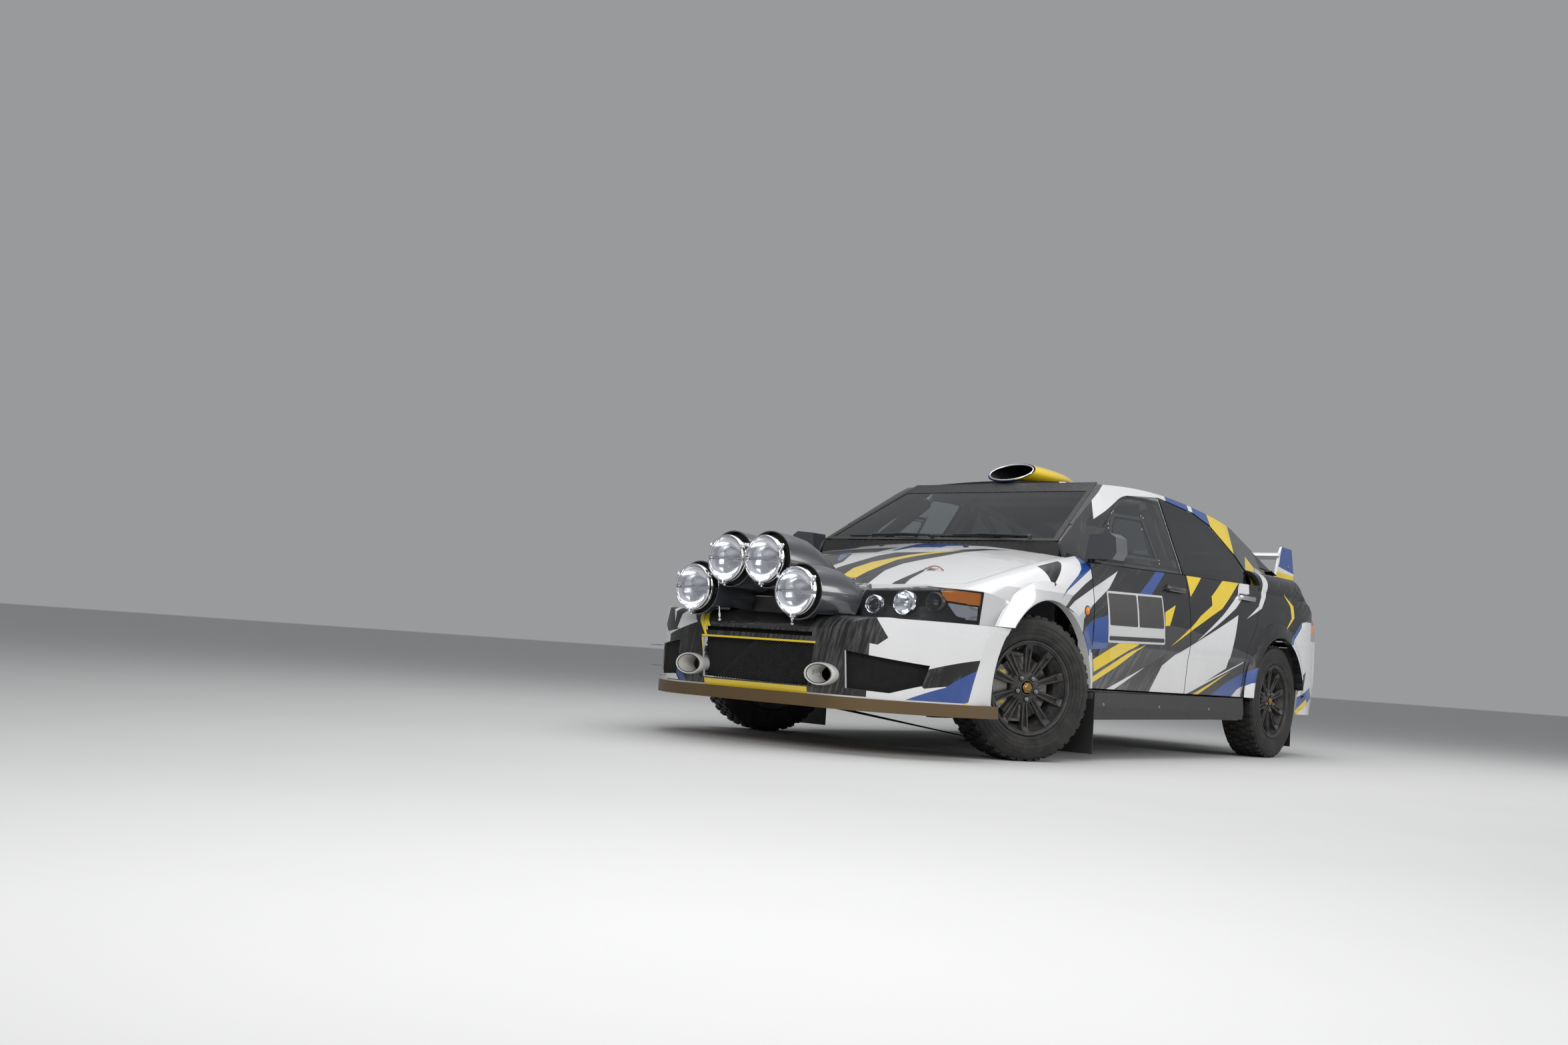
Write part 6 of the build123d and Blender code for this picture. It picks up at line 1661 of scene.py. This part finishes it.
class SALOON_OT_seats(bpy.types.Operator):
    """Bucket seats: moulded shells, padded cushions with sewn channels, and flat red harnesses"""
    bl_idname = "saloon.seats"
    bl_label = "Seats"

    def execute(self, context):
        for side, sign in SIDES.items():
            x = sign * 370
            bm = bmesh.new()
            add_patch(bm, 28, 44, lambda u, v: seat_point(x, u, v))
            shell = piece(bm, "seat_shell_" + side, "body", "seat cloth", smooth=60, stands_for=("seats",), tidy=False)
            thicken(shell, 0.012, 0)
            for name, low, high, width, height, channels in PADS:
                bm = bmesh.new()

                def place(u, v):
                    edge = (1 - abs(2 * u - 1) ** 6) * (1 - abs(2 * v - 1) ** 6)
                    sewn = sum(math.exp(-((v - (i + 1) / (channels + 1)) / 0.022) ** 2) for i in range(channels))
                    side_seam = math.exp(-((abs(2 * u - 1) - 0.72) / 0.035) ** 2)
                    puff = height * (0.25 + 0.75 * edge ** 0.5) - 9 * max(sewn, side_seam) * edge
                    return seat_point(x, u, v, 6 + puff, low, high, width)
                add_patch(bm, 36, 44, place)
                pad = piece(bm, f"{name}_{side}", "body", "pad cloth", smooth=70, tidy=False)
                thicken(pad, 0.012, -1)
                pad.modifiers.new("soft", "SUBSURF").levels = 1
                pad.modifiers["soft"].render_levels = 1
            bm = bmesh.new()
            for shift in (-62, 62):
                add_patch(bm, 3, 40, lambda u, v: seat_point(x, 0.5 + (shift * (1 - 0.45 * v) + (u - 0.5) * 48)
                                                             / 2 / 205, v, 50, 0.30, 0.76))
                add_patch(bm, 3, 20, lambda u, v: mm(x + shift * (0.55 + 0.2 * v) + (u - 0.5) * 48,
                                                     2430 + 108 * v, 872 - 6 * v + 14 * math.sin(math.pi * v)))
            for side_strap in (-1, 1):
                add_patch(bm, 3, 20, lambda u, v: seat_point(x, 0.5 + side_strap * 0.32 * v, 0.5, 56 + 34 * v,
                                                             0.25 + 0.03 * u, 0.27 + 0.03 * u))
            add_box(bm, seat_point(x, 0.5, 0, 52, 0.27, 1) - Vector((0.028, 0.026, 0.008)),
                    seat_point(x, 0.5, 0, 52, 0.27, 1) + Vector((0.028, 0.026, 0.012)), 0.006, 1)
            thicken(piece(bm, "harness_" + side, "body", "harness", "steel", smooth=50), 0.0022, 0)
            bm = bmesh.new()
            for at in (-1, 1):
                for low, high in ((1960, 250), (2280, 250)):
                    add_rod(bm, mm(x + at * 175, low, 238), mm(x + at * 175, low, 330), 0.011, 0, 12)
                add_rod(bm, mm(x + at * 175, 1900, 262), mm(x + at * 175, 2380, 262), 0.013, 0, 12)
            piece(bm, "seat_rails_" + side, "body", "dark steel")
        return {"FINISHED"}


class SALOON_OT_cabin(bpy.types.Operator):
    """Foam on the cage near the heads, steering wheel centre, instruments, switches, pedals and fire bottle"""
    bl_idname = "saloon.cabin"
    bl_label = "Cabin fittings"

    def execute(self, context):
        pad = sizes().pad_radius
        bm = bmesh.new()
        for sign in SIDES.values():
            a, b = mm(sign * 655, 1420, 860), mm(sign * 500, 1990, 1316)
            add_rod(bm, a.lerp(b, 0.42), a.lerp(b, 0.9), pad, 0, 20)
            a, b = mm(sign * 664, 2440, 900), mm(sign * 520, 2440, 1333)
            add_rod(bm, a.lerp(b, 0.2), a.lerp(b, 0.88), pad, 0, 20)
            for t in (0.25, 0.5, 0.75):
                add_ring(bm, Matrix.Translation(a.lerp(b, t)) @ (b - a).to_track_quat("X", "Z").to_matrix().to_4x4(),
                         [(34.6, -3), (35.2, 0), (34.6, 3)], 20, 1)
        foam = piece(bm, "cage_foam", "body", "foam", "black plastic", smooth=50)
        bm = bmesh.new()
        hub = mm(370, 1640, 862)
        turn = Vector((0, 0.94, 0.34)).to_track_quat("X", "Z").to_matrix().to_4x4()
        spot = Matrix.Translation(hub) @ turn
        add_ring(bm, spot, [(0.01, 12), (16, 11), (22, 8), (24, 2)], 40, 0)
        for i in range(6):
            add_ring(bm, spot @ about_axle(60 * i) @ Matrix.Translation((0, 0, 0.034)),
                     [(0.01, 7), (4, 6.5), (5, 4), (5, 0)], 12, 1)
        for y in (-0.07, 0.07):
            add_ring(bm, spot @ Matrix.Translation((0, y, 0.01)), [(0.01, 10), (7, 9), (8, 6), (8, 0)], 16, 2)
        piece(bm, "wheel_centre", "steering_wheel", "black plastic", "steel", "red anodised", smooth=45)
        bm = bmesh.new()
        dash = surface("dashboard")
        spot, _ = hit(dash, mm(370, 0, 870), (0, -1, 0))
        add_box(bm, spot + Vector((-0.10, -0.01, -0.042)), spot + Vector((0.10, 0.018, 0.048)), 0.012, 0, 3)
        add_sheet(bm, [spot + Vector((x / 1000, 0.0188, z / 1000)) for x, z in
                       rounded([(-84, -30), (84, -30), (84, 36), (-84, 36)], 8, 3)], 0.001, (0, 1, 0), 1)
        panel, _ = hit(dash, mm(0, 0, 800), (0, -1, 0))
        add_box(bm, panel + Vector((-0.13, -0.02, -0.06)), panel + Vector((0.13, 0.012, 0.075)), 0.006, 2)
        for row in range(3):
            for i in range(6):
                at = panel + Vector((-0.105 + 0.042 * i, 0.012, -0.035 + 0.04 * row))
                add_rod(bm, at, at + Vector((0, 0.004, 0)), 0.007, 3, 12)
                add_rod(bm, at, at + Vector((0, 0.018, 0.006)), 0.0025, 3, 8)
        for x in (-420, -300, -180):
            at, _ = hit(dash, mm(x, 0, 865), (0, -1, 0))
            add_rod(bm, at + Vector((0, -0.01, 0)), at + Vector((0, 0.012, 0)), 0.034, 0, 28)
            add_rod(bm, at + Vector((0, 0.012, 0)), at + Vector((0, 0.0135, 0)), 0.030, 1, 28)
        piece(bm, "dash_instruments", "body", "black plastic", "black gloss", "carbon", "steel", smooth=40)
        bm = bmesh.new()
        for x in (250, 330, 410):
            add_box(bm, mm(x - 26, 1545, 400), mm(x + 26, 1553, 480), 0.004, 0)
            add_rod(bm, mm(x, 1549, 478), mm(x, 1500, 640), 0.006, 0)
        add_rod(bm, mm(230, 1500, 640), mm(430, 1500, 640), 0.012, 0)
        add_rod(bm, mm(0, 2760, 330), mm(300, 2760, 330), 0.062, 1, 28)
        add_ball(bm, mm(300, 2760, 330), 0.062, 1, (0.5, 1, 1), 28)
        add_ball(bm, mm(0, 2760, 330), 0.062, 1, (0.5, 1, 1), 28)
        for x in (60, 240):
            add_ring(bm, Matrix.Translation(mm(x, 2760, 330)), [(62.4, -10), (64, -8), (64, 8), (62.4, 10)], 28, 0)
        piece(bm, "cabin_fittings", "body", "dark steel", "bottle red", smooth=50)
        return {"FINISHED"}


class SALOON_OT_studio(bpy.types.Operator):
    """Lay a plain pale floor, soft lights and the camera of the photograph's view"""
    bl_idname = "saloon.studio"
    bl_label = "Studio"

    def execute(self, context):
        scene = context.scene
        studio = scene.saloon_studio
        bm = bmesh.new()
        bmesh.ops.create_grid(bm, x_segments=2, y_segments=2, size=90)
        mesh = bpy.data.meshes.new("studio_floor")
        bm.to_mesh(mesh)
        bm.free()
        floor = bpy.data.objects.new("studio_floor", mesh)
        scene.collection.objects.link(floor)
        f = Finish("studio_floor")
        f.set(Base_Color=f.mix(f.noise(1.3, 5), shade(studio.floor, 0.97), shade(studio.floor, 1.03)), Roughness=0.75)
        mesh.materials.append(f.bump(f.noise(90, 4), 0.0004, 0.4).material)
        world = bpy.data.worlds.new("studio_sky")
        scene.world = world
        world.use_nodes = True
        background = world.node_tree.nodes["Background"]
        background.inputs["Color"].default_value = (0.93, 0.95, 0.98, 1)
        background.inputs["Strength"].default_value = studio.sky
        for name, place, aim, width, height, power in (
                ("overhead_softbox", (0.5, -0.6, 4.6), (0, -0.2, 0.6), 5.0, 6.5, 215),
                ("front_softbox", (3.4, -6.4, 2.8), (0.2, -1.4, 0.6), 2.6, 2.2, 170),
                ("rear_softbox", (5.6, 3.0, 2.4), (0.4, 1.0, 0.7), 3.0, 2.0, 120)):
            lamp = bpy.data.lights.new(name, "AREA")
            lamp.shape = "RECTANGLE"
            lamp.size, lamp.size_y, lamp.energy = width, height, power
            item = bpy.data.objects.new(name, lamp)
            item.location = place
            item.rotation_euler = (Vector(aim) - Vector(place)).to_track_quat("-Z", "Y").to_euler()
            scene.collection.objects.link(item)
        camera = bpy.data.cameras.new("camera")
        camera.sensor_width = 36
        camera.lens = studio.lens
        camera.clip_end = 300
        view = bpy.data.objects.new("camera", camera)
        turn, rise, roll = math.radians(39.9095), math.radians(-4.8854), math.radians(4.1281)
        back = Vector((math.sin(turn) * math.cos(rise), -math.cos(turn) * math.cos(rise), math.sin(rise)))
        right = (-back).cross(Vector((0, 0, 1))).normalized()
        up = right.cross(-back)
        across = right * math.cos(roll) + up * math.sin(roll)
        upright = up * math.cos(roll) - right * math.sin(roll)
        place = Matrix((across, upright, back)).transposed().to_4x4()
        place.translation = (4.2598, -4.9846 - MIDDLE / 1000, 0.3935)
        view.matrix_world = place
        scene.collection.objects.link(view)
        scene.camera = view
        scene.view_settings.view_transform = "Standard"
        return {"FINISHED"}


class SALOON_PT_sidebar(bpy.types.Panel):
    """Lists the steps and their settings"""
    bl_label = "Rally Saloon"
    bl_idname = "SALOON_PT_sidebar"
    bl_space_type = "VIEW_3D"
    bl_region_type = "UI"
    bl_category = "Rally Saloon"

    def draw(self, context):
        layout = self.layout
        for group in (context.scene.saloon_colours, context.scene.saloon_sizes, context.scene.saloon_studio):
            box = layout.box()
            for name in group.__annotations__:
                box.prop(group, name)
        for operator in STEPS:
            layout.operator(operator.bl_idname)


GROUPS = {"saloon_colours": SaloonColours, "saloon_sizes": SaloonSizes, "saloon_studio": SaloonStudio}
STEPS = (SALOON_OT_node_finishes, SALOON_OT_panels, SALOON_OT_tyres, SALOON_OT_rims, SALOON_OT_lamp_pod,
         SALOON_OT_pod_lamps, SALOON_OT_openings, SALOON_OT_glasshouse, SALOON_OT_side_glass, SALOON_OT_side_trim,
         SALOON_OT_headlamps, SALOON_OT_tail_lamps, SALOON_OT_roof_scoop, SALOON_OT_body_fittings, SALOON_OT_seats,
         SALOON_OT_cabin, SALOON_OT_studio)


def register():
    for name, group in GROUPS.items():
        bpy.utils.register_class(group)
        setattr(bpy.types.Scene, name, PointerProperty(type=group))
    for operator in STEPS + (SALOON_PT_sidebar,):
        bpy.utils.register_class(operator)


def unregister():
    for operator in STEPS + (SALOON_PT_sidebar,):
        bpy.utils.unregister_class(operator)
    for name, group in GROUPS.items():
        delattr(bpy.types.Scene, name)
        bpy.utils.unregister_class(group)


def main():
    register()
    for operator in STEPS:
        family, name = operator.bl_idname.split(".")
        getattr(getattr(bpy.ops, family), name)()


if __name__ == "__main__":
    main()
